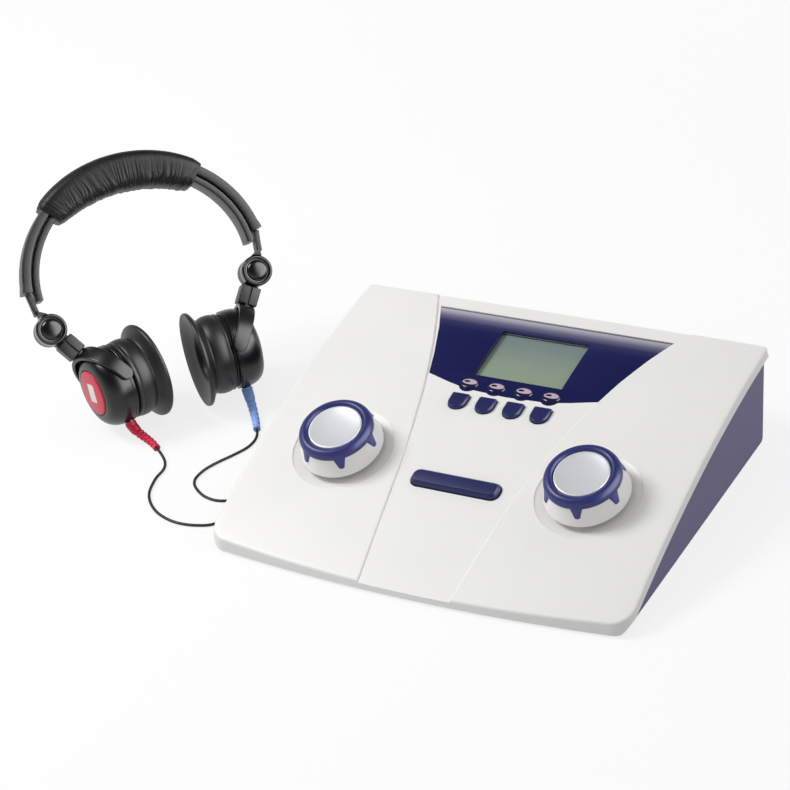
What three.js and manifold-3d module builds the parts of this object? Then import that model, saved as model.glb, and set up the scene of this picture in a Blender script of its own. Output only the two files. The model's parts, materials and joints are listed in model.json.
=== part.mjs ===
// Portable audiometer: a wedge-shaped desk console with two large rotary knobs, four soft keys and a
// presentation bar, and the folding audiometric headset that plugs into it. Millimetres, +Z up.
// The console stands on its feet at z = 0, and the headset lies beside it on the same table.

import * as THREE from 'three';
import { mergeVertices } from 'three/addons/utils/BufferGeometryUtils.js';
import Module from 'manifold-3d';

const wasm = await Module();
wasm.setup();

// Driving dimensions of the console
const consoleWidth = 290;
const consoleDepth = 231;
const frontEdgeHeight = 9.8;
const rearEdgeHeight = 68;
const crownHeight = 10;
const frontBulge = 7.5;
const rearBulge = 0.8;
const frontCornerRadius = 13;
const rearCornerRadius = 3.5;
const leastCornerRadius = 1;
const coverWall = 3;
const baseWall = 2.2;
const footHeight = 1.5;
const knobAcross = 172;
const knobForward = 35.3;
const knobDishRadius = 33.6;
const barForward = 46;
const keyBack = 17.8;
const keyPitch = 19.4;
const displayHalfWidth = 84.5;
const displayFrontY = 29.3;
const displayRearY = 104.7;

// Driving dimensions of the headset, in its own frame: X from the red cup to the blue one, Y up the
// band, Z to the wearer's back. The hinge drums lie on its X axis.
const hingeInset = 11.3;
const cupDrop = 47;
const cupInset = 31;
const cushionRadius = 33.2;
const cupBodyRadius = 27.7;
const cupDepth = 45;
const bandHalfSpan = 85.3;
const hingeHalfSpan = bandHalfSpan - hingeInset;
const bandHalfHeight = 78.3;
const bandCentreY = 21.6;
const headsetPlaceX = -275.4;
const headsetPlaceY = 42.5;
const headsetTurn = 49.6;
const headsetLean = 32.7;
const redSwivelTurn = -13;
const redTiltTurn = 7.6;

// Clearances
const gap = 0.3;
const cutOverrun = 20;
const tableGap = 0.15;

const halfWidth = consoleWidth / 2;
const halfDepth = consoleDepth / 2;
const axisX = new THREE.Vector3(1, 0, 0);
const axisY = new THREE.Vector3(0, 1, 0);
const axisZ = new THREE.Vector3(0, 0, 1);
const radians = THREE.MathUtils.degToRad;

function paint(color, roughness, metalness = 0) {
  return new THREE.MeshStandardMaterial({ color, roughness, metalness });
}

const coverWhite = paint('#ecebe8', 0.45);
const baseNavy = paint('#46405c', 0.55);
const keyNavy = paint('#262a66', 0.4);
const windowNavy = paint('#1c2050', 0.15);
const screenGrey = paint('#8e9d8b', 0.3);
const silver = paint('#edeff2', 0.3, 0.6);
const steel = paint('#b9bcc0', 0.35, 0.9);
const boardGreen = paint('#2f6b45', 0.6);
const blackPlastic = paint('#29292b', 0.4);
const blackRubber = paint('#232325', 0.8);
const padLeather = paint('#232324', 0.6);
const bootRed = paint('#c02040', 0.5);
const bootBlue = paint('#6c93dc', 0.5);
const badgeRed = paint('#c23348', 0.35);
const badgeBlue = paint('#3f68bd', 0.35);
const cordBlack = paint('#2c2c2e', 0.6);

// Shapes: every helper gives one closed indexed geometry with its faces outward

function closed(geometry) {
  const bare = geometry.clone();
  bare.deleteAttribute('normal');
  bare.deleteAttribute('uv');
  const merged = mergeVertices(bare, 1e-4);
  const index = merged.index.array;
  const at = merged.attributes.position;
  const corner = [new THREE.Vector3(), new THREE.Vector3(), new THREE.Vector3()];
  const kept = [];
  let volume = 0;
  for (let i = 0; i < index.length; i += 3) {
    const [a, b, c] = [index[i], index[i + 1], index[i + 2]];
    if (a === b || b === c || c === a) {
      continue;
    }
    kept.push(a, b, c);
    [a, b, c].forEach((vertex, n) => corner[n].fromBufferAttribute(at, vertex));
    volume += corner[0].dot(corner[1].clone().cross(corner[2]));
  }
  if (volume < 0) {
    kept.reverse();
  }
  merged.setIndex(kept);
  merged.userData.closed = true;
  return merged;
}

function toSolid(geometry) {
  const shape = geometry.userData.closed ? geometry : closed(geometry);
  return new wasm.Manifold(new wasm.Mesh({
    numProp: 3,
    vertProperties: new Float32Array(shape.attributes.position.array),
    triVerts: new Uint32Array(shape.index.array),
  }));
}

function fromSolid(solid) {
  const mesh = solid.getMesh();
  const geometry = new THREE.BufferGeometry();
  geometry.setAttribute('position', new THREE.BufferAttribute(mesh.vertProperties, 3));
  geometry.setIndex(new THREE.BufferAttribute(mesh.triVerts, 1));
  geometry.userData.closed = true;
  return geometry;
}

function join(...shapes) {
  return fromSolid(shapes.map(toSolid).reduce((whole, next) => whole.add(next)));
}

function cut(shape, ...tools) {
  return fromSolid(tools.map(toSolid).reduce((whole, tool) => whole.subtract(tool), toSolid(shape)));
}

function common(first, second) {
  return fromSolid(toSolid(first).intersect(toSolid(second)));
}

function box(width, depth, height, x = 0, y = 0, z = 0) {
  return closed(new THREE.BoxGeometry(width, depth, height).translate(x, y, z));
}

// A round bar along Z from one height to another
function rod(radius, from, to, x = 0, y = 0, sides = 16) {
  const bar = new THREE.CylinderGeometry(radius, radius, to - from, sides);
  return closed(bar.rotateX(Math.PI / 2).translate(x, y, (from + to) / 2));
}

// A profile of [radius, height] points turned about Z
function turned(profile, sides = 30) {
  const points = profile.map(([radius, height]) => new THREE.Vector2(radius, height));
  if (profile[0][0] > 0) {
    points.push(points[0].clone());
  }
  return closed(new THREE.LatheGeometry(points, sides).rotateX(Math.PI / 2));
}

// A flat outline raised from one height to another
function raised(points, from, to, bevel = 0) {
  const outline = points instanceof THREE.Shape ? points : new THREE.Shape(points);
  const body = new THREE.ExtrudeGeometry(outline, {
    depth: to - from - bevel,
    bevelEnabled: bevel > 0,
    bevelThickness: bevel,
    bevelSize: bevel,
    bevelOffset: -bevel,
    bevelSegments: 1,
    curveSegments: 2,
  });
  return closed(body.translate(0, 0, from));
}

// An outline in the YZ plane drawn out along X
function alongX(points, width) {
  const body = new THREE.ExtrudeGeometry(new THREE.Shape(points), { depth: width, bevelEnabled: false });
  body.translate(0, 0, -width / 2);
  return closed(body.applyMatrix4(new THREE.Matrix4().makeBasis(axisY, axisZ, axisX)));
}

// Rings of equally many points, skinned in order and closed by a point at each end
function skinned(rings, start, end) {
  const count = rings[0].length;
  const points = [...rings.flat(), start, end];
  const first = rings.length * count;
  const last = (rings.length - 1) * count;
  const faces = [];
  for (let i = 0; i < count; i += 1) {
    const j = (i + 1) % count;
    faces.push(first, j, i, first + 1, last + i, last + j);
    for (let ring = 0; ring < last; ring += count) {
      faces.push(ring + i, ring + j, ring + count + j, ring + i, ring + count + j, ring + count + i);
    }
  }
  const body = new THREE.BufferGeometry().setFromPoints(points);
  body.setIndex(faces);
  return closed(body);
}

function middle(points) {
  const sum = new THREE.Vector3();
  points.forEach((point) => sum.add(point));
  return sum.divideScalar(points.length);
}

function skinnedFlat(rings) {
  return skinned(rings, middle(rings[0]), middle(rings[rings.length - 1]));
}

function piece(name, geometry, material, parent) {
  const faceted = geometry.toNonIndexed();
  faceted.computeVertexNormals();
  const mesh = new THREE.Mesh(faceted, material);
  mesh.name = name;
  parent.add(mesh);
  return mesh;
}

function placed(group, geometry) {
  group.updateMatrix();
  const moved = geometry.clone().applyMatrix4(group.matrix);
  moved.userData.closed = true;
  return moved;
}

// The console's top: straight across, and a shallow crown from front to back
function topHeight(y) {
  const share = (y + halfDepth) / consoleDepth;
  return frontEdgeHeight + (rearEdgeHeight - frontEdgeHeight) * share
    + 4 * crownHeight * share * (1 - share);
}

function topSlope(y) {
  const share = (y + halfDepth) / consoleDepth;
  return Math.atan((rearEdgeHeight - frontEdgeHeight + 4 * crownHeight * (1 - 2 * share)) / consoleDepth);
}

// A frame on the console's top, with its Z square to the surface there
function topFrame(x, y, sink, name) {
  const frame = new THREE.Group();
  frame.position.set(x, y, topHeight(y));
  frame.rotation.x = topSlope(y);
  frame.translateZ(-sink);
  frame.name = name;
  return frame;
}

// The console's plan outline, anticlockwise from the front left corner, drawn in by an inset
function planOutline(inset) {
  const points = [];
  function edge(count, place) {
    for (let i = 0; i < count; i += 1) {
      points.push(new THREE.Vector2(...place(i / count)));
    }
  }
  function corner(x, y, radius, from) {
    edge(3, (share) => {
      const angle = radians(from + 90 * share);
      return [x + radius * Math.cos(angle), y + radius * Math.sin(angle)];
    });
  }
  const [sideX, endY] = [halfWidth - inset, halfDepth - inset];
  const frontRadius = Math.max(frontCornerRadius - inset, leastCornerRadius);
  const rearRadius = Math.max(rearCornerRadius - inset, leastCornerRadius);
  const [frontX, frontY] = [sideX - frontRadius, endY - frontRadius];
  const [rearX, rearY] = [sideX - rearRadius, endY - rearRadius];
  edge(8, (share) => [(2 * share - 1) * frontX, -endY - frontBulge * 4 * share * (1 - share)]);
  corner(frontX, -frontY, frontRadius, -90);
  edge(6, (share) => [sideX, -frontY + share * (frontY + rearY)]);
  corner(rearX, rearY, rearRadius, 0);
  edge(4, (share) => [(1 - 2 * share) * rearX, endY + rearBulge * 4 * share * (1 - share)]);
  corner(-rearX, rearY, rearRadius, 90);
  edge(6, (share) => [-sideX, rearY - share * (frontY + rearY)]);
  corner(-frontX, -frontY, frontRadius, 180);
  return points;
}

// A slice that follows the console's top between two offsets from it
function topSlice(above, below) {
  const reach = halfDepth + cutOverrun;
  const steps = 8;
  const upper = [];
  const lower = [];
  for (let i = 0; i <= steps; i += 1) {
    const y = -reach + 2 * reach * i / steps;
    upper.push(new THREE.Vector2(y, topHeight(y) + above));
    lower.unshift(new THREE.Vector2(y, topHeight(y) + below));
  }
  return alongX([...lower, ...upper], consoleWidth + 2 * cutOverrun);
}

// Top cover: a crowned shell with a rounded rim, a sunk centre panel and the openings for what it carries
const channelSink = 1.2;
const lipDepth = 6;
const frontLipDepth = 10;
const rearLipDepth = 8;
const lipWall = 1.2;
const lipFlare = 0.8;
const rimRound = 1.3;
const displayCentreY = 65.15;
const screenWidth = 64;
const screenDepth = 48.3;
const windowSink = 0.3;
const windowThick = 2;
const windowBorder = 1.4;
const lensRadius = 6.8;
const lensY = 35.2;
const displayBacking = 6;
const screenMargin = 1;
const dishFloor = 2.8;
const dishLip = 1;
const dishFloorRadius = 24;
const dishBossDepth = 6;
const dishBossMargin = 2.4;
const bushRadius = 4.2;
const barWidth = 61;
const barDepth = 12;
const keyWidth = 12.4;
const keyLength = 13.2;
const bossRadius = 4;
const screwRadius = 1.5;
const screwHeadRadius = 2.8;
const frontBossMarginX = 27;
const frontBossMarginY = 24;
const rearBossMarginX = 22;
const rearBossMarginY = 30;
const bossPlaces = [-1, 1].flatMap((side) => [
  [side * (halfWidth - frontBossMarginX), -halfDepth + frontBossMarginY],
  [side * (halfWidth - rearBossMarginX), halfDepth - rearBossMarginY],
]);
const bossSplitShare = 0.45;
const floorTop = footHeight + baseWall;

function lipBottom(point) {
  const rearward = THREE.MathUtils.clamp((point.y - halfDepth + rearCornerRadius) / rearCornerRadius, 0, 1);
  const forward = THREE.MathUtils.clamp(2 * (-point.y - halfDepth) / frontCornerRadius + 1, 0, 1);
  const depth = lipDepth + rearward * (rearLipDepth - lipDepth) + forward * (frontLipDepth - lipDepth);
  return Math.max(topHeight(point.y) - depth, footHeight);
}

function coverRing(inset, heightAt, share = 1) {
  return planOutline(inset).map((point) => {
    const spot = point.multiplyScalar(share);
    return new THREE.Vector3(spot.x, spot.y, heightAt(spot));
  });
}

// The edge of the sunk centre panel, from the rear to the front, as shares of the half sizes
const seamShares = [[0.695, 1.15], [0.63, 0.987], [0.494, 0.589], [0.391, 0.197], [0.298, -0.319],
  [0.253, -0.721], [0.206, -1.2]];

function channelOutline() {
  const seam = new THREE.SplineCurve(
    seamShares.map(([x, y]) => new THREE.Vector2(x * halfWidth, y * halfDepth)));
  const right = seam.getPoints(7);
  const left = right.map((point) => new THREE.Vector2(-point.x, point.y)).reverse();
  return [...left, ...right];
}

// The display panel's outline, from its rear corner round to the middle of its front edge
const displayShares = [[1, 1], [0.889, 0.713], [0.783, 0.39], [0.712, 0.127], [0.509, 0.062],
  [0.343, 0.02], [0, 0]];

function displayPlan(margin, from, to) {
  const right = displayShares.map(([x, y]) => new THREE.Vector2(
    x * displayHalfWidth + margin * Math.sign(x),
    THREE.MathUtils.lerp(displayFrontY - margin, displayRearY + margin, y),
  ));
  const left = right.slice(0, -1).map((point) => new THREE.Vector2(-point.x, point.y)).reverse();
  const panel = raised([...right, ...left], from, to);
  const lenses = lensPlaces().map(([x, y]) => rod(lensRadius + margin, from, to, x, y, 8));
  return join(panel, ...lenses);
}

function lensPlaces() {
  return [-1.5, -0.5, 0.5, 1.5].map((place) => [place * keyPitch, lensY]);
}

function roundedRect(width, depth, radius) {
  const [w, d] = [width / 2, depth / 2];
  const shape = new THREE.Shape();
  shape.absarc(w - radius, d - radius, radius, 0, Math.PI / 2);
  shape.absarc(-w + radius, d - radius, radius, Math.PI / 2, Math.PI);
  shape.absarc(-w + radius, -d + radius, radius, Math.PI, 1.5 * Math.PI);
  shape.absarc(w - radius, -d + radius, radius, 1.5 * Math.PI, 2 * Math.PI);
  return shape;
}

// A soft key's outline: straight at the back and round at the front
function keyOutline(margin) {
  const half = keyWidth / 2 + margin;
  const shape = new THREE.Shape();
  shape.moveTo(half, keyLength / 2 + margin);
  shape.lineTo(-half, keyLength / 2 + margin);
  shape.absarc(0, keyWidth / 2 - keyLength / 2, half, Math.PI, 2 * Math.PI);
  return shape;
}

const keyPlaces = [-1.5, -0.5, 0.5, 1.5].map((place) => place * keyPitch);
const keyFrames = keyPlaces.map((x, i) => topFrame(x, keyBack, channelSink, `key_${i + 1}_press`));
const barFrame = topFrame(0, -barForward, channelSink, 'bar_press');
const barRadius = barDepth / 2.4;
const knobFrames = [-1, 1].map((side) => topFrame(side * knobAcross / 2, -knobForward, 0, ''));
const screenFrame = topFrame(0, displayCentreY, 0, '');

function makeTopCover(parent) {
  const shares = [0.33, 0.67];
  const top = (point) => topHeight(point.y);
  const under = (point) => topHeight(point.y) - coverWall;
  const roundShare = 1 - Math.SQRT1_2;
  let shell = skinned([
    ...shares.map((share) => coverRing(rimRound, top, share)),
    coverRing(rimRound, top),
    coverRing(rimRound * roundShare, (point) => topHeight(point.y) - rimRound * roundShare),
    coverRing(0, (point) => topHeight(point.y) - rimRound),
    coverRing(-lipFlare, lipBottom),
    coverRing(lipWall - lipFlare, lipBottom),
    coverRing(lipWall, under),
    coverRing(lipWall, under, 0.67),
    coverRing(lipWall, under, 0.33),
  ], new THREE.Vector3(0, 0, topHeight(0)), new THREE.Vector3(0, 0, topHeight(0) - coverWall));
  const low = footHeight - cutOverrun;
  const high = rearEdgeHeight + crownHeight + cutOverrun;
  const dishBosses = knobFrames.map((frame) => placed(
    frame,
    rod(knobDishRadius + dishBossMargin, -dishBossDepth, -dishLip - gap, 0, 0, 20),
  ));
  const backing = common(displayPlan(windowBorder, low, high), topSlice(-windowSink, -displayBacking));
  const screwBosses = bossPlaces.map(([x, y]) => rod(
    bossRadius, bossSplit(y) + gap / 2, topHeight(y) - coverWall / 2, x, y, 8));
  shell = join(shell, backing, ...dishBosses, ...screwBosses);
  const channel = common(raised(channelOutline(), low, high), topSlice(cutOverrun, -channelSink));
  const pocketFloor = -channelSink - windowSink - windowThick - gap;
  const pocket = common(displayPlan(gap, low, high), topSlice(cutOverrun, pocketFloor));
  const screenHole = placed(
    screenFrame, box(screenWidth + 2 * screenMargin, screenDepth + 2 * screenMargin, 2 * cutOverrun));
  const reach = cutOverrun / 4;
  const keyHoles = keyFrames.map((frame) => placed(frame, raised(keyOutline(gap), -reach, reach)));
  const barHole = placed(barFrame, raised(
    roundedRect(barWidth + 4 * gap, barDepth + 4 * gap, barRadius + 2 * gap), -reach, reach));
  const dishes = knobFrames.map((frame) => placed(frame, turned([
    [0, cutOverrun / 2],
    [knobDishRadius, cutOverrun / 2],
    [knobDishRadius, -dishLip],
    [dishFloorRadius, -dishFloor],
    [0, -dishFloor],
  ])));
  const bushHoles = knobFrames.map((frame) => placed(frame, rod(bushRadius + gap, -cutOverrun, cutOverrun)));
  const screwHoles = bossPlaces.map(([x, y]) => rod(
    screwRadius + gap, low, bossSplit(y) + screwGrip, x, y, 8));
  shell = cut(
    shell, channel, pocket, screenHole, barHole, ...keyHoles, ...dishes, ...bushHoles, ...screwHoles);
  piece('top_cover', shell, coverWhite, parent);
}

// Height where a screw boss of the base meets the one of the cover
const screwGrip = 6;

function bossSplit(y) {
  return floorTop + (topHeight(y) - coverWall - floorTop) * bossSplitShare;
}

// Base shell: a navy tray with a leaning rear wall, the screw bosses and the posts under the board
const baseInset = 1.5;
const baseFootInset = 4;
const rearWallTopInset = 4;
const rearWallFootInset = 8;
const heelRadius = 3;
const boardWidth = 150;
const boardDepth = 92;
const boardThick = 1.6;
const boardHeight = 11;
const boardCentreY = 42;
const postRadius = 3;
const postMargin = 8;
const footRadius = 6;
const footMarginX = 24;
const footMarginY = 22;
const footPlaces = [[-1, -1], [1, -1], [-1, 1], [1, 1]].map(([x, y]) => [
  x * (halfWidth - footMarginX), y * (halfDepth - footMarginY)]);
const rearLean = Math.atan((rearWallFootInset - rearWallTopInset) / (rearEdgeHeight - footHeight));
const rearFrame = new THREE.Group();
rearFrame.position.set(0, halfDepth - rearWallFootInset, footHeight);
rearFrame.rotation.x = -rearLean;
const socketX = -86;
const socketHeight = 25;
const socketRadius = 8;
const inletX = 96;
const inletWidth = 15;
const inletHeight = 12;
const rockerX = 62;
const rockerWidth = 20;
const rockerRadius = 7.6;

function baseProfile(inward) {
  const foot = halfDepth - rearWallFootInset - inward;
  const bottom = footHeight + inward;
  const front = -halfDepth - frontBulge;
  const lean = Math.tan(rearLean);
  const points = [new THREE.Vector2(front, bottom)];
  for (let i = 0; i <= 3; i += 1) {
    const angle = radians(-90 + 30 * i);
    points.push(new THREE.Vector2(
      foot - heelRadius + heelRadius * Math.cos(angle),
      bottom + heelRadius + heelRadius * Math.sin(angle),
    ));
  }
  const rise = inward > 0 ? cutOverrun : -coverWall - gap;
  const steps = 7;
  const rearTop = foot + lean * (rearEdgeHeight - footHeight);
  for (let i = 0; i <= steps; i += 1) {
    const y = THREE.MathUtils.lerp(rearTop, front, i / steps);
    points.push(new THREE.Vector2(y, Math.max(topHeight(y) + rise, footHeight + baseWall / 2)));
  }
  return points;
}

// The tray's walls, drawn in a little towards the foot
function trayWalls(inward, low, high) {
  return skinnedFlat([low, high].map((height) => {
    const fall = (rearEdgeHeight - height) / (rearEdgeHeight - footHeight);
    const inset = THREE.MathUtils.lerp(baseInset, baseFootInset, fall) + inward;
    return planOutline(inset).map((point) => new THREE.Vector3(point.x, point.y, height));
  }));
}

function makeBaseShell(parent) {
  const low = footHeight - cutOverrun;
  const high = rearEdgeHeight + crownHeight + cutOverrun;
  const bottom = footHeight - baseWall;
  const outer = common(trayWalls(0, bottom, rearEdgeHeight), alongX(baseProfile(0), consoleWidth));
  const inner = common(trayWalls(baseWall, bottom, rearEdgeHeight),
    alongX(baseProfile(baseWall), consoleWidth));
  const bosses = bossPlaces.map(([x, y]) => rod(
    bossRadius, footHeight + baseWall / 2, bossSplit(y) - gap / 2, x, y, 8));
  const posts = [-1, 1].flatMap((side) => [-1, 1].map((end) => rod(
    postRadius, footHeight + baseWall / 2, boardHeight - gap,
    side * (boardWidth / 2 - postMargin), boardCentreY + end * (boardDepth / 2 - postMargin), 8)));
  let shell = join(cut(outer, inner), ...bosses, ...posts);
  const screwHoles = bossPlaces.map(([x, y]) => rod(screwRadius + gap, low, high, x, y, 8));
  const headWells = bossPlaces.map(([x, y]) => rod(
    screwHeadRadius + gap, low, footHeight + baseWall * 0.6, x, y, 10));
  const socketHole = placed(rearFrame, rod(socketRadius + gap, -cutOverrun, cutOverrun, 0, 0, 20)
    .rotateX(Math.PI / 2).translate(socketX, 0, socketHeight));
  const inletHole = placed(rearFrame, box(
    inletWidth + 2 * gap, cutOverrun, inletHeight + 2 * gap, inletX, 0, socketHeight));
  const rockerHole = placed(rearFrame, box(
    rockerWidth + 2 * gap, cutOverrun, 2 * (rockerRadius + gap), rockerX, 0, socketHeight));
  const pinHole = placed(rearFrame, rockerPin(
    rockerPinRadius + gap, rockerWidth + 2 * rockerPinReach + 2 * gap));
  shell = cut(shell, ...screwHoles, ...headWells, socketHole, inletHole, rockerHole, pinHole);
  piece('base_shell', shell, baseNavy, parent);
}

// Rear fittings: supply inlet, power rocker on its pins, and the headset socket
const rockerPinRadius = 0.8;
const rockerPinReach = 1.6;
const inletFlange = 1.6;
const inletCavityWidth = 10;
const inletCavityHeight = 7.5;
const inletCavityDepth = 9;
const inletBodyDepth = 12;
const socketFlangeRadius = 10;
const socketFlangeThick = 2.2;
const socketLength = 30;
const plugPinRadius = 3.1;
const plugPinLength = 26;

function rockerPin(radius, length) {
  return closed(new THREE.CylinderGeometry(radius, radius, length, 12).rotateZ(Math.PI / 2)
    .translate(rockerX, -baseWall / 2, socketHeight));
}

function makeRearFittings(parent) {
  const rear = new THREE.Group();
  rear.position.copy(rearFrame.position);
  rear.rotation.copy(rearFrame.rotation);
  parent.add(rear);
  const body = box(inletWidth, inletBodyDepth, inletHeight,
    inletX, inletFlange / 2 - inletBodyDepth / 2, socketHeight);
  const flange = box(inletWidth + 2 * inletFlange, inletFlange, inletHeight + 2 * inletFlange,
    inletX, inletFlange / 2 + gap, socketHeight);
  const cavity = box(inletCavityWidth, inletCavityDepth, inletCavityHeight,
    inletX, inletFlange + gap - inletCavityDepth / 2 + gap, socketHeight);
  piece('dc_inlet', cut(join(body, flange), cavity), blackPlastic, rear);
  const rocking = new THREE.Group();
  rocking.name = 'power_rock';
  rocking.position.set(rockerX, -baseWall / 2, socketHeight);
  rear.add(rocking);
  const faceShares = [
    [0, 0.62], [0.8, 0.58], [0.8, 0.2], [0.55, -0.7], [-0.55, -0.7], [-0.8, 0.4], [-0.8, 0.59],
  ];
  const section = faceShares.map(([z, y]) => new THREE.Vector2(y * rockerRadius, z * rockerRadius));
  const button = alongX(section, rockerWidth);
  const pin = rockerPin(rockerPinRadius, rockerWidth + 2 * rockerPinReach)
    .translate(-rockerX, baseWall / 2, -socketHeight);
  piece('power_rocker', join(button, pin), blackPlastic, rocking);
  const out = -Math.PI / 2;
  const socket = turned([
    [plugPinRadius + gap, -plugPinLength - gap],
    [0, -plugPinLength - gap],
    [0, -socketLength],
    [socketRadius, -socketLength],
    [socketRadius, gap],
    [socketFlangeRadius, gap],
    [socketFlangeRadius, gap + socketFlangeThick],
    [plugPinRadius + gap, gap + socketFlangeThick],
  ], 16);
  piece('phones_socket', socket.rotateX(out).translate(socketX, 0, socketHeight), blackPlastic, rear);
}

// Fasteners and feet
const screwHeadHeight = 1;

function makeFastenersAndFeet(parent) {
  footPlaces.forEach(([x, y], i) => {
    piece(`foot_${i + 1}`, rod(footRadius, 0, footHeight - gap, x, y), blackRubber, parent);
  });
  bossPlaces.forEach(([x, y], i) => {
    const head = rod(screwHeadRadius, footHeight + gap, footHeight + screwHeadHeight, x, y, 10);
    const shank = rod(screwRadius, footHeight + screwHeadHeight / 2, bossSplit(y) + screwGrip - gap, x, y, 8);
    piece(`base_screw_${i + 1}`, join(head, shank), steel, parent);
  });
}

// Display panel with its four lenses, the screen module behind it and the main board
const lensHeight = 1.3;
const moduleWidth = 74;
const moduleDepth = 58;
const moduleThick = 6;
const screenRecess = 4.6;
const moduleRecess = 6.9;
const chipHeight = 2.4;

function makeDisplay(parent) {
  const low = footHeight - cutOverrun;
  const high = rearEdgeHeight + crownHeight + cutOverrun;
  const face = -channelSink - windowSink;
  const panel = common(displayPlan(0, low, high), topSlice(face, face - windowThick));
  const lenses = lensPlaces().map(([x, y]) => {
    const dome = new THREE.SphereGeometry(lensRadius - 2 * gap, 10, 4);
    dome.scale(1, 0.75, lensHeight / lensRadius).rotateX(topSlope(y));
    return closed(dome.translate(x, y, topHeight(y) + face));
  });
  piece('display_window', join(panel, ...lenses), windowNavy, parent);
  const frame = screenFrame.clone();
  parent.add(frame);
  const bottom = -moduleRecess - moduleThick;
  const glass = box(screenWidth, screenDepth, -screenRecess - bottom, 0, 0, (bottom - screenRecess) / 2);
  const body = box(moduleWidth, moduleDepth, moduleThick, 0, 0, bottom + moduleThick / 2);
  piece('lcd_module', join(glass, body), screenGrey, frame);
  const board = box(boardWidth, boardDepth, boardThick, 0, boardCentreY, boardHeight + boardThick / 2);
  const chipShares = [[-0.3, 0.2, 0.16], [0.05, 0.22, 0.1], [0.28, -0.2, 0.12], [-0.12, -0.24, 0.09]];
  const chips = chipShares.map(([x, y, size]) => box(
    size * boardWidth, size * boardWidth, chipHeight,
    x * boardWidth, boardCentreY + y * boardDepth, boardHeight + boardThick + chipHeight / 2 - gap));
  piece('main_board', join(board, ...chips), boardGreen, parent);
}

// Soft keys and the presentation bar: each cap has a flange that holds it under the cover
const keyProud = 2.6;
const barProud = 3.6;
const capBevel = 0.9;
const barBevel = 1.9;
const flangeMargin = 1.2;
const flangeThick = 1.6;
const capFloor = coverWall - channelSink + 3 * gap;

function makeKeys(parent) {
  keyFrames.forEach((frame, i) => {
    parent.add(frame);
    const cap = raised(keyOutline(0), -capFloor - flangeThick / 2, keyProud, capBevel);
    const flange = raised(keyOutline(flangeMargin), -capFloor - flangeThick, -capFloor);
    const stemless = cut(join(cap, flange), box(cutOverrun, cutOverrun, cutOverrun, 0, 0,
      -capFloor - flangeThick - cutOverrun / 2));
    piece(`key_${i + 1}`, stemless, keyNavy, frame);
  });
  parent.add(barFrame);
  const cap = raised(
    roundedRect(barWidth, barDepth, barRadius), -capFloor - flangeThick / 2, barProud, barBevel);
  const flange = raised(
    roundedRect(barWidth + 4 * flangeMargin, barDepth + 4 * flangeMargin, barRadius + 2 * flangeMargin),
    -capFloor - flangeThick, -capFloor);
  const trimmed = cut(join(cap, flange), box(barWidth * 2, cutOverrun * 2, cutOverrun, 0, 0,
    -capFloor - flangeThick - cutOverrun / 2));
  piece('presentation_bar', trimmed, keyNavy, barFrame);
}

// Rotary knobs: a white skirt, a navy grip ring with six prongs and a dished silver cap on a steel shaft
const skirtRim = 27.5;
const skirtRimHeight = 3;
const skirtTopRadius = 24;
const skirtTopHeight = 15;
const skirtCeiling = 12.5;
const skirtWall = 2.3;
const hubRadius = 7;
const capRadius = 17.6;
const capSeat = 17.5;
const capThick = 2.6;
const capDish = 1.4;
const gripTop = 21;
const prongTipHeight = 8.5;
const prongProud = 0.9;
const prongTopHalf = 4.6;
const prongTipHalf = 1.7;
const shaftRadius = 3;
const shaftDepth = 12;
const encoderSide = 15;
const encoderThick = 8;
const leftKnobTurn = 30;
const rightKnobTurn = 12;
const knobSides = 20;

function skirtRadius(height) {
  const share = (height - skirtRimHeight) / (skirtTopHeight - skirtRimHeight);
  return THREE.MathUtils.lerp(skirtRim, skirtTopRadius, share);
}

function gripShape() {
  const seat = skirtTopHeight + gap;
  const inner = capRadius + 1.5 * gap;
  const outer = skirtTopRadius + gap;
  const ring = turned([
    [inner, seat],
    [outer, seat],
    [outer, seat + (gripTop - seat) * 0.3],
    [outer - (outer - inner) * 0.15, seat + (gripTop - seat) * 0.68],
    [outer - (outer - inner) * 0.42, seat + (gripTop - seat) * 0.94],
    [outer - (outer - inner) * 0.66, gripTop],
    [outer - (outer - inner) * 0.9, seat + (gripTop - seat) * 0.94],
  ], knobSides);
  const low = prongTipHeight - 2 * gap;
  const high = seat + 2 * prongProud;
  const shell = turned([
    [skirtRadius(low) + gap, low],
    [skirtRadius(skirtTopHeight) + gap, skirtTopHeight + gap / 2],
    [skirtRadius(skirtTopHeight) + gap, seat],
    [skirtTopRadius - 2 * prongProud, seat],
    [skirtTopRadius - 2 * prongProud, high],
    [skirtRadius(skirtTopHeight) + prongProud, high],
    [skirtRadius(low) + prongProud, low],
  ], knobSides);
  const prong = [
    new THREE.Vector2(-prongTopHalf, high + gap),
    new THREE.Vector2(-prongTipHalf, prongTipHeight + prongTipHalf / 2),
    new THREE.Vector2(-prongTipHalf / 2, prongTipHeight),
    new THREE.Vector2(prongTipHalf / 2, prongTipHeight),
    new THREE.Vector2(prongTipHalf, prongTipHeight + prongTipHalf / 2),
    new THREE.Vector2(prongTopHalf, high + gap),
  ];
  let grip = ring;
  for (let i = 0; i < 6; i += 1) {
    const outline = raised(prong, skirtTopRadius / 2, skirtRim + cutOverrun);
    outline.rotateX(Math.PI / 2).rotateZ(radians(60 * i));
    grip = join(grip, common(closed(outline), shell));
  }
  return grip;
}

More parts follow.
